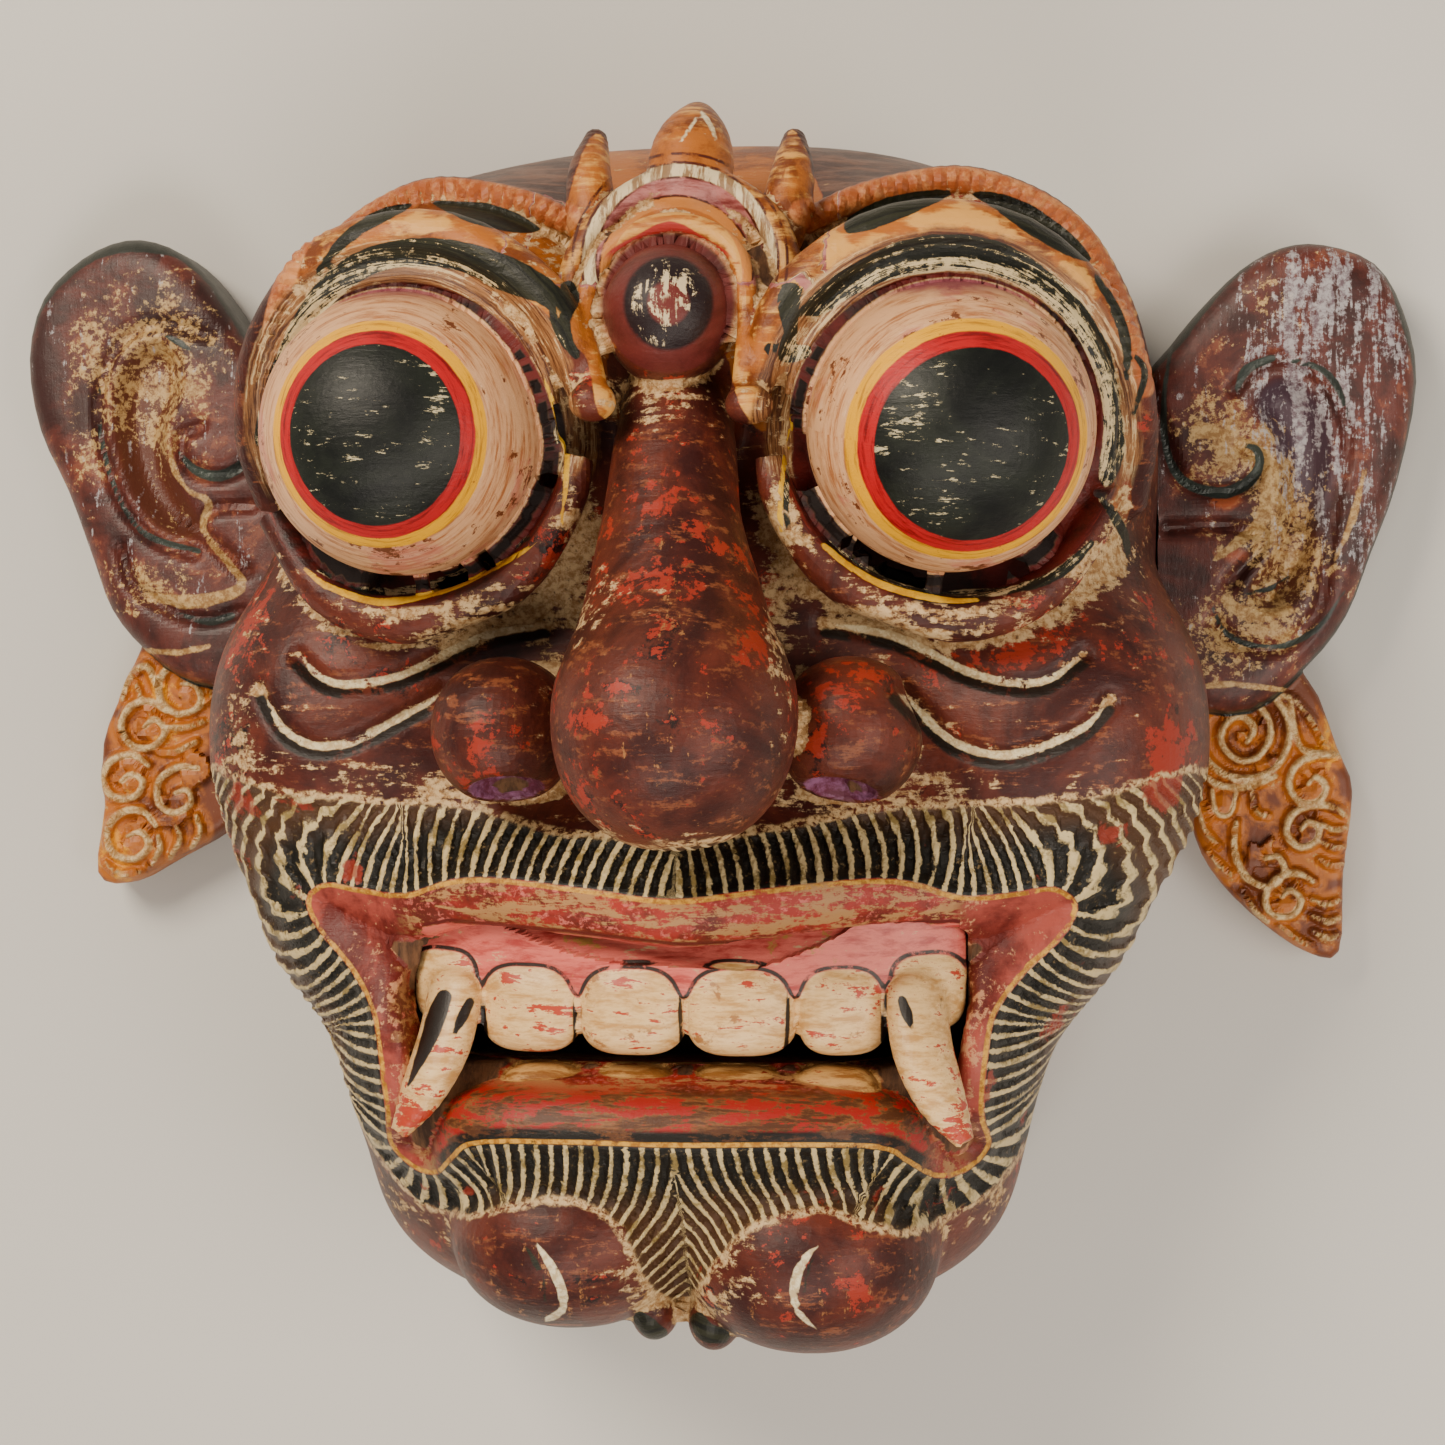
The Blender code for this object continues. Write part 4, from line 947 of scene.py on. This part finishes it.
gum_line = add("Attribute", out=2, attribute_name="gum")
gum_pink = over("a63632", "d5695c", edge(brushed, 0.34, 0.56))
gum_pink = over(gum_pink, "a8743f", edge(adds(ragged, 0.6, patch), 0.6, 0.66))
mouth_paint = over(mouth_paint, "5a1a16", between(gum_line, -3.5, 0, 2))
mouth_paint = over(mouth_paint, gum_pink, edge(adds(ragged, 4, gum_line), 0, 1.5))
mouth_paint = over(mouth_paint, over("9a6418", "d09a3a", edge(specks, 0.4, 0.6)),
    times(between(mouth[0], -1.3, -0.3, 0.3), edge(flakes, 0.4, 0.46)))
base = over(base, mouth_paint, edge(mouth[0], 0.1, -0.3))
dull_tooth = over("8a5a2c", "c79a5c", edge(brushed, 0.4, 0.56))
dull_tooth = over(dull_tooth, "6e1f16", edge(adds(ragged, -3, lower[1]), 1.0, 0.5))
dull_tooth = over(dull_tooth, "8c2618", edge(brushed, 0.6, 0.64))
base = over(base, dull_tooth, edge(lower[0], 0.9, 0.4))

# Black brows and strokes, rubbed at their lower edge, then the cream and yellow strokes
black_mask = edge(adds(ragged, 5, strokes[0]), -0.6, 0.9)
rubbed = adds(lids[0], -0.02, adds(specks, 0.5, times(round_eye, 0.9)))
brow_wear = edge(rubbed, 0.0, 0.04)
black_paint = over(over("10110c", "2a2a1c", edge(round_eye, 0.4, 0.6)), "cdb78a", brow_wear)
base = over(base, black_paint, black_mask)
base = over(base, over("bfa67c", "e2d3ae", edge(fine, 0.4, 0.6)),
    times(edge(adds(ragged, 4, strokes[2]), -0.5, 0.8), edge(flakes, 0.34, 0.4)))
base = over(base, over("b98416", "e0b02a", edge(flakes, 0.4, 0.6)),
    edge(adds(ragged, 3, strokes[1]), -0.4, 0.7))

# The eyes: pinkish cream with round brush marks, and yellow, red and black rings
out = sums("SQRT", sums("ADD", times(eye[0], eye[0]), times(eye[1], eye[1])))
round_marks = noise(join_vector(times(out, 1.3), times(sums("ARCTAN2", eye[1], eye[0]), 1.6), 0.0), 1.0, 9,
    0.75, 0.25)
ball = over("a8683a", "dba77a", edge(round_marks, 0.38, 0.54))
ball = over(ball, "eac29a", edge(adds(soft, 0.8, round_marks), 0.56, 0.68))
ball = over(ball, "c26a5c", times(edge(patch, 0.52, 0.6), 0.6))
ball = over(ball, "6e3a1e", edge(adds(ragged, 0.9, adds(round_marks, 0.4, times(patch, 0.6))), 0.59, 0.61))
ball = over(ball, "84404a", edge(adds(soft, 12, lids[1]), 24, 30))
wobble = adds(soft, 1.2, out)
yellow_paint = over("b57a06", "eaa800", edge(round_marks, 0.36, 0.52))
yellow_paint = over(yellow_paint, "8a4a20", edge(specks, 0.64, 0.68))
red_paint = over("700b10", "b5141a", edge(round_marks, 0.36, 0.54))
ball = over(ball, yellow_paint, edge(wobble, YELLOW_RING, YELLOW_RING - 0.3))
ball = over(ball, red_paint, edge(wobble, RED_RING, RED_RING - 0.3))
pupil = over("080a09", "1c2019", edge(patch, 0.4, 0.62))
marks = noise(stretched(place, (150, 800, 300), (0, 0, 0.8)), 1, 7, 0.78, 0.2)
scratches = edge(adds(soft, 0.7, adds(ragged, 0.5, marks)), 0.635, 0.66)
pupil = over(pupil, "bdb08c", scratches)
ball = over(ball, pupil, edge(wobble, PUPIL, PUPIL - 0.3))
base = over(base, ball, edge(eye[2], 0.8, 0.4))

# Behind and in the cuts the wood is bare and dark, and in the eye slits it is painted near black as shade
bare = over("3a261a", "6b4a31", edge(upright, 0.35, 0.65))
inside = edge(carving[2], 0.6, 0.3)
base = over(base, bare, inside)
# The bare wood in the eye slits, painted near black as the shade inside them
base = over(base, "120705", times(inside, edge(adds(lids[1], 0.08, lids[0]), 36.0, 35.0)))
tree.links.new(base, shader.inputs["Base Color"])
gloss = adds(ground_mask, 0.2, adds(flakes, 0.3, 0.26))
tree.links.new(adds(inside, 0.4, gloss), shader.inputs["Roughness"])
height = adds(ground_mask, -0.35, adds(brushed, 0.8, times(fine, 0.35)))
tree.links.new(add("Bump", {"Height": height, "Strength": 0.45, "Distance": 0.0006}),
    shader.inputs["Normal"])
shader.inputs["Specular IOR Level"].default_value = 0.3
face.data.materials.append(material)


# The upper teeth
# A curved board of the same wood, set in behind the lip: the gum, four teeth and the two fangs in one piece,
# painted pink and cream, worn on the teeth's edges.

TEETH_FRONT = 111.5
TEETH_BEND = 0.0040
TEETH_THICKNESS = 0.013
TEETH_FACET = 0.8
BOARD_HALF = TEETH_THICKNESS / UNIT / 2
BOARD = dome((0.5, -46, TEETH_FRONT - BOARD_HALF), (61, 10.5, BOARD_HALF), 8)
TOOTH_PLACES = ((-33.7, 11.6), (-10.4, 11.9), (13.4, 12.1), (35.2, 9.8))
TEETH = [dome((x, -58.8, TEETH_FRONT - 6), (half, 10.2, 7.6), 3, 0.6) for x, half in TOOTH_PLACES]
FANGS = mirrored([
    dome((53, -55, TEETH_FRONT - 5), (8.5, 9, 6), 3, 1),
    roll([(51, -57, 111, 6.5), (52.5, -67, 116, 6.4), (56.5, -77, 121, 5.2), (61.5, -86, 124, 2.2)], 1.5),
])
TEETH_MASSES = [BOARD] + TEETH + FANGS


def teeth_distance(points):
    return union_distance(points, TEETH_MASSES)


def straightened(points):
    straight = points.copy()
    straight[:, 2] += TEETH_BEND * straight[:, 0] ** 2
    return straight


teeth = cad_copy("upper_teeth", "painted_teeth")
even_skin(teeth, TEETH_FACET)
recarve(teeth, lambda points: teeth_distance(straightened(points)), 2)
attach(teeth, "root")
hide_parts("upper_teeth")

# Dark gaps between the teeth, and the slots in the fangs painted near black as the shade inside them
TOOTH_GAPS_AND_SLOT_SHADE = [
    [(574, 985, 0.5), (575, 1010, 2.4), (575, 1035, 2.2), (574, 1052, 4)],
    [(680, 985, 0.5), (680, 1010, 2.4), (681, 1035, 2.2), (682, 1054, 4)],
    [(788, 985, 0.5), (788, 1010, 2.4), (787, 1035, 2.2), (786, 1052, 4)],
    [(484, 985, 1), (483, 1010, 3), (485, 1035, 4)], [(886, 990, 1), (884, 1015, 3), (884, 1040, 4)],
    [(444, 997, 8), (436, 1018, 10), (424, 1050, 7), (408, 1086, 2)],
    [(470, 1002, 5), (462, 1018, 6), (455, 1032, 3)],
    [(902, 1000, 5), (907, 1014, 6), (912, 1028, 2)], [(941, 998, 1.6), (941, 1018, 1)],
]
points = carved_points(teeth)
flat = drawn(points)
straight = straightened(points)
tooth = np.min([mass_distance(straight, mass) for mass in TEETH + FANGS], axis=0)
gaps_and_slot_shade = read_map(strokes_map(TOOTH_GAPS_AND_SLOT_SHADE), flat)
tips = spots(flat, [(408, 1118, 30, 26, 1.0), (975, 1135, 30, 26, 1.0), (520, 985, 40, 30, 0.35),
                    (620, 985, 40, 20, 0.5), (730, 980, 40, 20, 0.3), (840, 985, 40, 20, 0.4),
                    (960, 1060, 16, 40, 0.5), (640, 935, 260, 14, 0.3)])
keep(teeth, "enamel", np.column_stack([tooth, gaps_and_slot_shade, tips]))
keep(teeth, "depth", straight[:, 2] - TEETH_FRONT)

# The wood's ground is the cream of the teeth, with red from the gum's brush, dark gaps between the teeth, and
# the fangs' slots painted near black as shade
material, tree, shader = start_material("worn tooth paint")
place = add("TexCoord", out=3)
patch = noise(place, 60, 8, 0.66, 0.4)
flakes = noise(place, 160, 10, 0.74, 0.3)
brushed = noise(stretched(place, (90, 420, 200)), 1, 8, 0.72, 0.25)
enamel, depth = attribute("enamel"), add("Attribute", out=2, attribute_name="depth")
ragged = sums("SUBTRACT", flakes, 0.5)
gum = over("a63632", "d5695c", edge(brushed, 0.34, 0.56))
gum = over(gum, "a7793f", edge(adds(ragged, 0.6, patch), 0.6, 0.66))
gum = over(gum, "c9a57c", edge(adds(ragged, 0.6, brushed), 0.62, 0.68))
cream_paint = over("c39152", "e9c286", edge(brushed, 0.36, 0.56))
cream_paint = over(cream_paint, "b23a22", edge(adds(enamel[2], 0.12, adds(ragged, 0.5, brushed)), 0.58,
    0.61))
cream_paint = over(cream_paint, "a5713f", edge(adds(ragged, 0.6, patch), 0.61, 0.66))
tooth_rim = over(gum, "2a1a14", times(between(enamel[0], 0.5, 1.1, 0.2), edge(flakes, 0.38, 0.5)))
front_paint = over(tooth_rim, cream_paint, edge(enamel[0], 0.55, 0.3))
# The dark gaps between the teeth, and the fangs' slots as painted shade
front_paint = over(front_paint, "1a120d", edge(adds(ragged, 4, enamel[1]), -0.4, 1))
front_paint = over(front_paint, "3a2418", edge(depth, -9, -11))
tree.links.new(front_paint, shader.inputs["Base Color"])
tree.links.new(adds(flakes, 0.3, 0.22), shader.inputs["Roughness"])
tree.links.new(add("Bump", {"Height": sums("ADD", brushed, ragged), "Strength": 0.4, "Distance": 0.0004}),
    shader.inputs["Normal"])
teeth.data.materials.append(material)


# The ears
# Two flat pieces of the same wood with the pendants under the lobes carved in one with them, glued on behind
# the cheeks, painted maroon with a green spiral, and the scrolls in orange and cream.

EAR_LIFT = 0.004
EAR_THICKNESS = 0.024
PENDANT_THICKNESS = 0.014
EAR_FACET = 0.9
RIGHT_EAR = {
    "side": 1,
    "ear": [(96, 60), (101, 84), (108.6, 94.4), (115.8, 103.2), (125.6, 112.8), (135.3, 118),
            (145.5, 118.6), (157.8, 114.2), (164.8, 102.8), (168, 85.6), (163.3, 61.5), (157, 44.3),
            (151, 29), (142, 17.3), (128, 6), (112, 8), (100, 20), (94, 40)],
    "pendant": [(141.5, 15), (149.6, -3.6), (153, -13.5), (150.8, -33), (149.8, -52.4), (142.4, -52.8),
                (132.1, -46.2), (121.7, -36.2), (115.5, -25), (112.6, -8), (113, 10), (126, 17)],
    "hollow": [(133, 86), (141, 84), (147, 74), (147.5, 60), (143, 44), (139, 33), (131, 30),
               (127, 36), (133, 46), (134, 58), (133, 70), (128, 79)],
    "grooves": [
        [(101, 92), (106.5, 74), (110.6, 62.5), (118.5, 58.5), (126.3, 60.2), (130, 66), (126, 69.5)],
        [(124, 83), (129.8, 89.6), (138.3, 90.2), (146.7, 83.6), (150.5, 71), (147.5, 56),
         (145.5, 40), (143.5, 30), (135, 21.5), (125, 22.5), (119, 27)],
        [(108, 50), (122, 50.5), (131, 47), (123, 37)],
    ],
}
LEFT_EAR = {
    "side": -1,
    "ear": [(-96, 60), (-107, 87), (-118.4, 97), (-125.3, 107.5), (-132.8, 117.2),
            (-141.5, 123.5), (-152.4, 125.6), (-164.6, 121.5), (-175.3, 111.6), (-179.2, 95.8),
            (-176.2, 77.5), (-168.6, 61.9), (-161.6, 44.2), (-156.4, 31.6), (-147.4, 21.5),
            (-134, 13), (-114, 12), (-99, 24), (-94, 42)],
    "pendant": [(-147.5, 26), (-155, 12), (-160.5, -2), (-160.2, -18), (-162, -35), (-154, -37.6),
                (-141.2, -31), (-128.8, -24), (-119, -14), (-115, 4), (-120, 22), (-134, 26)],
    "hollow": [(-141, 99), (-149, 97), (-154.5, 88), (-154.5, 74), (-150, 60), (-142, 51),
               (-133, 49), (-131, 54), (-138, 66), (-139.5, 76), (-136, 85), (-136, 94)],
    "grooves": [
        [(-104, 84), (-112, 73), (-122.3, 65.9), (-129.3, 65.3), (-135.6, 68.8), (-136, 75),
         (-131.4, 77)],
        [(-129, 100), (-141, 103), (-152, 99), (-157.8, 88), (-157.2, 73), (-151.5, 58),
         (-143, 49), (-133, 45.5)],
        [(-152, 47), (-149, 38), (-140, 32), (-130, 29), (-121, 31)],
        [(-118, 57.5), (-128, 56.5), (-131, 51.5), (-125, 46), (-119.5, 41)],
    ],
}


def ear_top(flat, ear):
    """How high the ear's front stands: hollowed in its middle and grooved round the folds."""
    hollow = loop_distance(flat, closed_loop(ear["hollow"]))
    top = EAR_THICKNESS / UNIT - 7.0 * step(-hollow, -1.5, 6)
    top -= 5.0 * step(np.abs(flat[:, 0]), 138, 176)
    for line in ear["grooves"]:
        away, _ = line_distance(flat, smooth_path(line))
        top -= 2.4 * np.exp(-(away / 1.9) ** 2)
    return top


def ear_maps(ear):
    outline = np.array(ear["ear"] + ear["pendant"])
    low, high = outline.min(0) - 8, outline.max(0) + 8
    measures = (
        lambda flat: loop_distance(flat, closed_loop(ear["ear"])),
        lambda flat: ear_top(flat, ear),
        lambda flat: loop_distance(flat, closed_loop(ear["pendant"])),
        lambda flat: pendant_top(flat, ear),
    )
    return [flat_map(measure, low, high, 0.6) for measure in measures]


def ear_distance(points, maps):
    height = points[:, 2] - EAR_LIFT / UNIT
    round_ear, top, round_pendant, crest = (read_map(grid, points[:, :2]) for grid in maps)
    disc = smooth_cut(round_ear, top - height, 9)
    plate = smooth_cut(round_pendant, crest - height, 3.5)
    return smooth_cut(smooth_union(disc, plate, 2), height, 2)


EAR_GREEN = [
    [(259, 440, 4), (246, 462, 6), (220, 476, 6), (195, 470, 4.5), (179, 452, 2)],
    [(99, 388, 2), (100, 430, 3), (113, 483, 3), (133, 522, 3), (157, 540, 3.5), (199, 551, 3)],
    [(178, 614, 2), (209, 622, 4), (232, 616, 4)], [(165, 335, 2), (178, 342, 4), (190, 350, 2)],
    [(1171, 347, 2), (1164, 397, 3), (1166, 447, 4), (1182, 480, 5), (1216, 493, 6), (1243, 486, 6),
     (1259, 468, 5), (1257, 450, 4), (1243, 445, 2)],
    [(1237, 390, 3), (1246, 370, 5), (1272, 358, 4)],
    [(1293, 361, 3), (1321, 369, 3.5), (1338, 388, 3.5), (1349, 419, 1.5)],
    [(1246, 594, 1.5), (1271, 588, 3), (1290, 576, 1.5)],
    [(1210, 600, 1.5), (1227, 634, 3), (1271, 648, 3.4), (1316, 630, 3), (1345, 590, 1.5)],
]
EAR_CREAM = [
    [(170, 440, 2), (173, 467, 4), (188, 490, 3), (209, 503, 5), (203, 530, 4), (230, 565, 4),
     (241, 588, 6),
     (194, 602, 8), (150, 596, 5)],
    [(141, 650, 3), (180, 652, 4), (209, 646, 3)], [(1185, 690, 3), (1230, 684, 4), (1300, 692, 3)],
    [(1215, 560, 3), (1240, 540, 6), (1262, 520, 8), (1270, 470, 10), (1240, 440, 6), (1200, 430, 10)],
    [(1225, 600, 5), (1250, 615, 8), (1290, 610, 6)], [(1365, 470, 3), (1352, 520, 4), (1335, 560, 2)],
]
PENDANT_LINES = [
    [(1243, 686, 3), (1276, 699, 3), (1290, 733, 3), (1276, 767, 3), (1243, 779, 3), (1212, 766, 3),
     (1198, 735, 3), (1210, 706, 3), (1236, 698, 3), (1262, 709, 3), (1271, 733, 3), (1258, 757, 3),
     (1238, 760, 3), (1222, 744, 3), (1224, 726, 3), (1240, 716, 3), (1254, 728, 3), (1247, 742, 2)],
    [(1290, 697, 2), (1294, 728, 2.6), (1304, 750, 2.6), (1338, 754, 2)],
    [(1296, 700, 1.5), (1312, 722, 2), (1326, 748, 1.5)],
    [(1198, 772, 2), (1222, 786, 3), (1250, 786, 3), (1276, 776, 2)],
    [(1340, 757, 2), (1318, 755, 3), (1296, 765, 3.4), (1289, 785, 3), (1300, 802, 3), (1318, 802, 3),
     (1326, 788, 3), (1316, 777, 3), (1308, 784, 2)],
    [(1346, 816, 2), (1330, 806, 3), (1309, 806, 3), (1291, 816, 3.4), (1287, 834, 3), (1299, 847, 3),
     (1315, 842, 3), (1319, 828, 3), (1308, 822, 2.6), (1301, 830, 2)],
    [(1236, 822, 2), (1234, 850, 3), (1246, 877, 3.2), (1268, 887, 3), (1284, 873, 3), (1279, 857, 3),
     (1265, 858, 2)],
    [(1314, 882, 2), (1297, 873, 3), (1276, 879, 3.4), (1265, 898, 3), (1273, 915, 3), (1292, 915, 3),
     (1301, 901, 3), (1291, 890, 2.6), (1282, 897, 2)],
    [(1212, 790, 1.6), (1216, 812, 2.4), (1230, 814, 2), (1236, 792, 1.6)],
    [(1252, 792, 1.6), (1256, 812, 2.2), (1268, 816, 1.6)],
    [(1196, 800, 1.6), (1204, 828, 2.4), (1218, 846, 2)], [(1208, 852, 1.6), (1222, 868, 2.4),
     (1234, 876, 1.6)],
    [(1244, 892, 1.6), (1256, 912, 2.2), (1268, 922, 1.6)], [(1280, 926, 1.6), (1298, 940, 2.2),
     (1312, 946, 1.6)],
    [(1322, 824, 1.4), (1334, 830, 2.4), (1346, 828, 1.4)], [(1322, 842, 1.4), (1334, 848, 2.4),
     (1346, 846, 1.4)],
    [(1320, 860, 1.4), (1332, 866, 2.4), (1344, 864, 1.4)], [(1312, 900, 1.4), (1326, 905, 2.4),
     (1340, 900, 1.4)],
    [(1312, 916, 1.4), (1328, 922, 2.4), (1340, 918, 1.4)], [(1314, 932, 1.4), (1328, 938, 2.4),
     (1340, 935, 1.4)],
    [(1190, 694, 2), (1230, 690, 3), (1262, 692, 3), (1290, 697, 2)],
    [(122, 700, 2), (128, 680, 3), (146, 666, 3), (158, 690, 2)], [(136, 684, 1.6), (142, 700, 2)],
    [(207, 664, 2), (183, 659, 3), (163, 674, 3), (160, 699, 3), (178, 714, 3), (200, 705, 3),
     (196, 686, 2.6),
     (182, 684, 2)],
    [(167, 712, 2), (150, 701, 3), (130, 707, 3.4), (121, 726, 3.2), (131, 745, 3), (152, 747, 3),
     (165, 732, 3),
     (155, 719, 2.6), (145, 727, 2)],
    [(148, 765, 2), (132, 755, 3), (111, 761, 3.2), (103, 780, 3), (113, 797, 3), (134, 797, 3),
     (143, 782, 3),
     (131, 774, 2.4), (122, 781, 2)],
    [(198, 768, 2), (178, 767, 3), (159, 781, 3), (159, 803, 3), (174, 813, 3), (191, 803, 2.6),
     (187, 790, 2.4),
     (175, 793, 1.6)],
    [(156, 826, 2), (142, 811, 3), (120, 813, 3.4), (107, 832, 3.2), (113, 853, 3), (134, 859, 3),
     (149, 846, 3),
     (141, 832, 2.6), (128, 836, 2)],
    [(160, 752, 1.6), (176, 752, 2.4), (196, 742, 2)], [(164, 726, 1.6), (182, 728, 2.4), (202, 722, 2)],
    [(104, 862, 1.6), (120, 874, 2.4), (140, 872, 1.6)], [(150, 866, 1.6), (160, 850, 2.4),
     (158, 836, 1.6)],
    [(170, 858, 1.6), (180, 840, 2.4), (176, 826, 1.6)], [(192, 848, 1.6), (200, 832, 2.4),
     (196, 816, 1.6)],
]
pendant_map = strokes_map(PENDANT_LINES, 40)


def pendant_top(flat, ear):
    """How high the pendant's front stands: scrolls, leaves and a toothed edge as ridges."""
    inside = read_map(pendant_map, drawn(np.column_stack([flat, np.full(len(flat), 17.0)]))) / 4.1
    return PENDANT_THICKNESS / UNIT - 1.4 + 2.3 * step(inside, -1.3, 0.5)


# Maroon water paint on the chalky ground, greyed where it is rubbed, and the scrolls orange with cream ridges
ear_material, tree, shader = start_material("worn ear paint")
place = add("TexCoord", out=3)
patch = noise(place, 55, 8, 0.68, 0.4)
flakes = noise(place, 170, 10, 0.74, 0.3)
upright = noise(stretched(place, (420, 60, 120)), 1, 8, 0.72, 0.25)
marks, forms, worn = attribute("marks"), attribute("forms"), attribute("worn")
ragged = sums("SUBTRACT", flakes, 0.5)
skin = over("33130f", "5e2920", edge(patch, 0.38, 0.6))
skin = over(skin, "7a3f2a", edge(adds(ragged, 0.6, patch), 0.56, 0.62))
skin = over(skin, "44303a", times(edge(forms[1], 1, -2), edge(worn[1], 0.3, 0.8)))
skin = over(skin, "5a2c1c", times(edge(forms[1], 1, -2), edge(worn[1], 0.6, 0.2)))
specks = noise(place, 560, 6, 0.76, 0.2)
chalk = over("8f6633", "c5a36c", edge(specks, 0.4, 0.6))
skin = over(skin, chalk, times(edge(adds(worn[0], 0.13,
    adds(specks, 0.4, adds(flakes, 0.35, times(patch, 0.3)))), 0.6, 0.64), 0.9))
skin = over(skin, over("6d5a62", "b3aeb0", edge(specks, 0.4, 0.6)),
    times(edge(adds(worn[1], 0.1, adds(specks, 0.4, times(upright, 0.8))), 0.69, 0.75), 0.8))
skin = over(skin, "a8512c", times(edge(worn[2], 0.4, 0.8), edge(flakes, 0.42, 0.5)))
rim_width = adds(forms[2], 3.2, 0.7)
skin = over(skin, "23261f", edge(sums("ADD", forms[0], adds(ragged, 2, rim_width)), -0.3, 0.3))
skin = over(skin, chalk, edge(adds(ragged, 9, marks[1]), 0, 2))
skin = over(skin, over("1c221e", "39423c", edge(patch, 0.4, 0.6)), edge(adds(ragged, 4, marks[0]), -0.5, 1))
scroll = over("6a3212", "b0631a", edge(adds(ragged, 0.5, patch), 0.4, 0.54))
scroll = over(scroll, "dc961c", edge(adds(ragged, 0.6, patch), 0.6, 0.68))
scroll = over(scroll, "6b3213", edge(adds(ragged, 8, marks[2]), -8, -14))
scroll = over(scroll, over("a87c46", "d9bc86", edge(specks, 0.4, 0.6)),
    edge(adds(ragged, 6.0, marks[2]), -1.6, 0.8))
scroll = over(scroll, "b98d58", edge(adds(specks, 0.5, flakes), 0.86, 0.92))
both = over(skin, scroll, edge(forms[0], 0.4, 0.9))
tree.links.new(both, shader.inputs["Base Color"])
tree.links.new(adds(flakes, 0.3, 0.28), shader.inputs["Roughness"])
tree.links.new(add("Bump", {"Height": sums("ADD", upright, flakes), "Strength": 0.4, "Distance": 0.0005}),
    shader.inputs["Normal"])

for node, ear in (("left_ear", LEFT_EAR), ("right_ear", RIGHT_EAR)):
    piece = cad_copy(node, "painted_" + node)
    even_skin(piece, EAR_FACET)
    maps = ear_maps(ear)
    recarve(piece, lambda points: ear_distance(points, maps), 2, 2.0)
    points = carved_points(piece)
    finer(piece, (loop_distance(points[:, :2], closed_loop(ear["ear"])) > -1) & (points[:, 2] > 10))
    recarve(piece, lambda points: ear_distance(points, maps), 2)
    points = carved_points(piece)
    flat = drawn(points)
    # Inside the round ear this is how near its edge is, and on the pendant it is above nought
    edge_place = loop_distance(points[:, :2], closed_loop(ear["ear"]))
    crest = read_map(pendant_map, flat)
    keep(piece, "marks", np.column_stack([read_map(strokes_map(EAR_GREEN), flat),
                                          read_map(strokes_map(EAR_CREAM), flat), crest]))
    keep(piece, "forms", np.column_stack([edge_place, loop_distance(points[:, :2],
        closed_loop(ear["hollow"])), spots(flat, [(80, 280, 70, 60, 1.0), (130, 245, 50, 14, 0.8),
        (1180, 320, 40, 70, 0.5), (1400, 330, 20, 60, 0.5)])]))
    keep(piece, "worn", np.column_stack([spots(flat, [(170, 330, 70, 60, 0.8), (90, 400, 30, 90, 0.6),
        (160, 400, 40, 70, 0.5), (150, 590, 50, 30, 0.7), (1215, 440, 46, 46, 0.9),
        (1290, 560, 60, 60, 1.0), (1260, 300, 50, 50, 0.5), (1230, 640, 60, 50, 0.7),
        (1280, 480, 30, 60, 0.7)]), spots(flat, [(1300, 400, 50, 120, 1.3), (1330, 290, 70, 50, 1.0),
        (1360, 500, 30, 90, 0.9), (1390, 340, 20, 80, 0.8), (150, 480, 30, 60, 0.2)]),
        spots(flat, [(1225, 498, 22, 16, 1.0), (1235, 555, 24, 16, 0.7), (120, 470, 14, 60, 0.5)])]))
    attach(piece, "root")
    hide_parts(node)
    piece.data.materials.append(ear_material)


# The floor
# A plain pale board that the mask lies on.

bpy.ops.mesh.primitive_plane_add(size=6, location=(0, 0, 0))
floor = bpy.context.object
floor.name = "floor"
material, tree, shader = start_material("pale floor")
shader.inputs["Base Color"].default_value = colour("cfccc6")
shader.inputs["Roughness"].default_value = 0.85
floor.data.materials.append(material)


# Light and camera
# Three large soft lamps over the mask, and the camera above it.

def lamp(name, place, target, size, power, tint):
    data = bpy.data.lights.new(name, "AREA")
    data.shape = "RECTANGLE"
    data.size, data.size_y = size
    data.energy = power
    data.color = colour(tint)[:3]
    obj = bpy.data.objects.new(name, data)
    obj.location = place
    obj.rotation_euler = (Vector(target) - Vector(place)).to_track_quat("-Z", "Y").to_euler()
    bpy.context.scene.collection.objects.link(obj)


lamp("key", (-0.5, 0.55, 0.9), (0, 0, 0.08), (0.45, 0.45), 14, "fff1dd")
lamp("fill", (0.7, -0.2, 0.8), (0, 0, 0.08), (0.6, 0.6), 6.5, "fff4e6")
lamp("front", (-0.05, -0.7, 0.9), (0, 0, 0.08), (0.6, 0.4), 6, "fff4e6")

world = bpy.data.worlds.new("soft room")
world.use_nodes = True
world.node_tree.nodes["Background"].inputs[0].default_value = colour("ece9e2")
world.node_tree.nodes["Background"].inputs[1].default_value = 0.35
bpy.context.scene.world = world

camera_data = bpy.data.cameras.new("camera")
camera_data.lens = 71.04
camera_data.sensor_width = 36
camera_data.clip_start = 0.01
camera = bpy.data.objects.new("camera", camera_data)
camera.location = (0.0832, -0.0007, 0.7205)
ahead = (Vector((0.0040, -0.0007, 0.025)) - camera.location).normalized()
across = ahead.cross(Vector((0, 1, 0))).normalized()
camera.rotation_euler = Matrix((across, across.cross(ahead), -ahead)).transposed().to_euler()
bpy.context.scene.collection.objects.link(camera)
bpy.context.scene.camera = camera
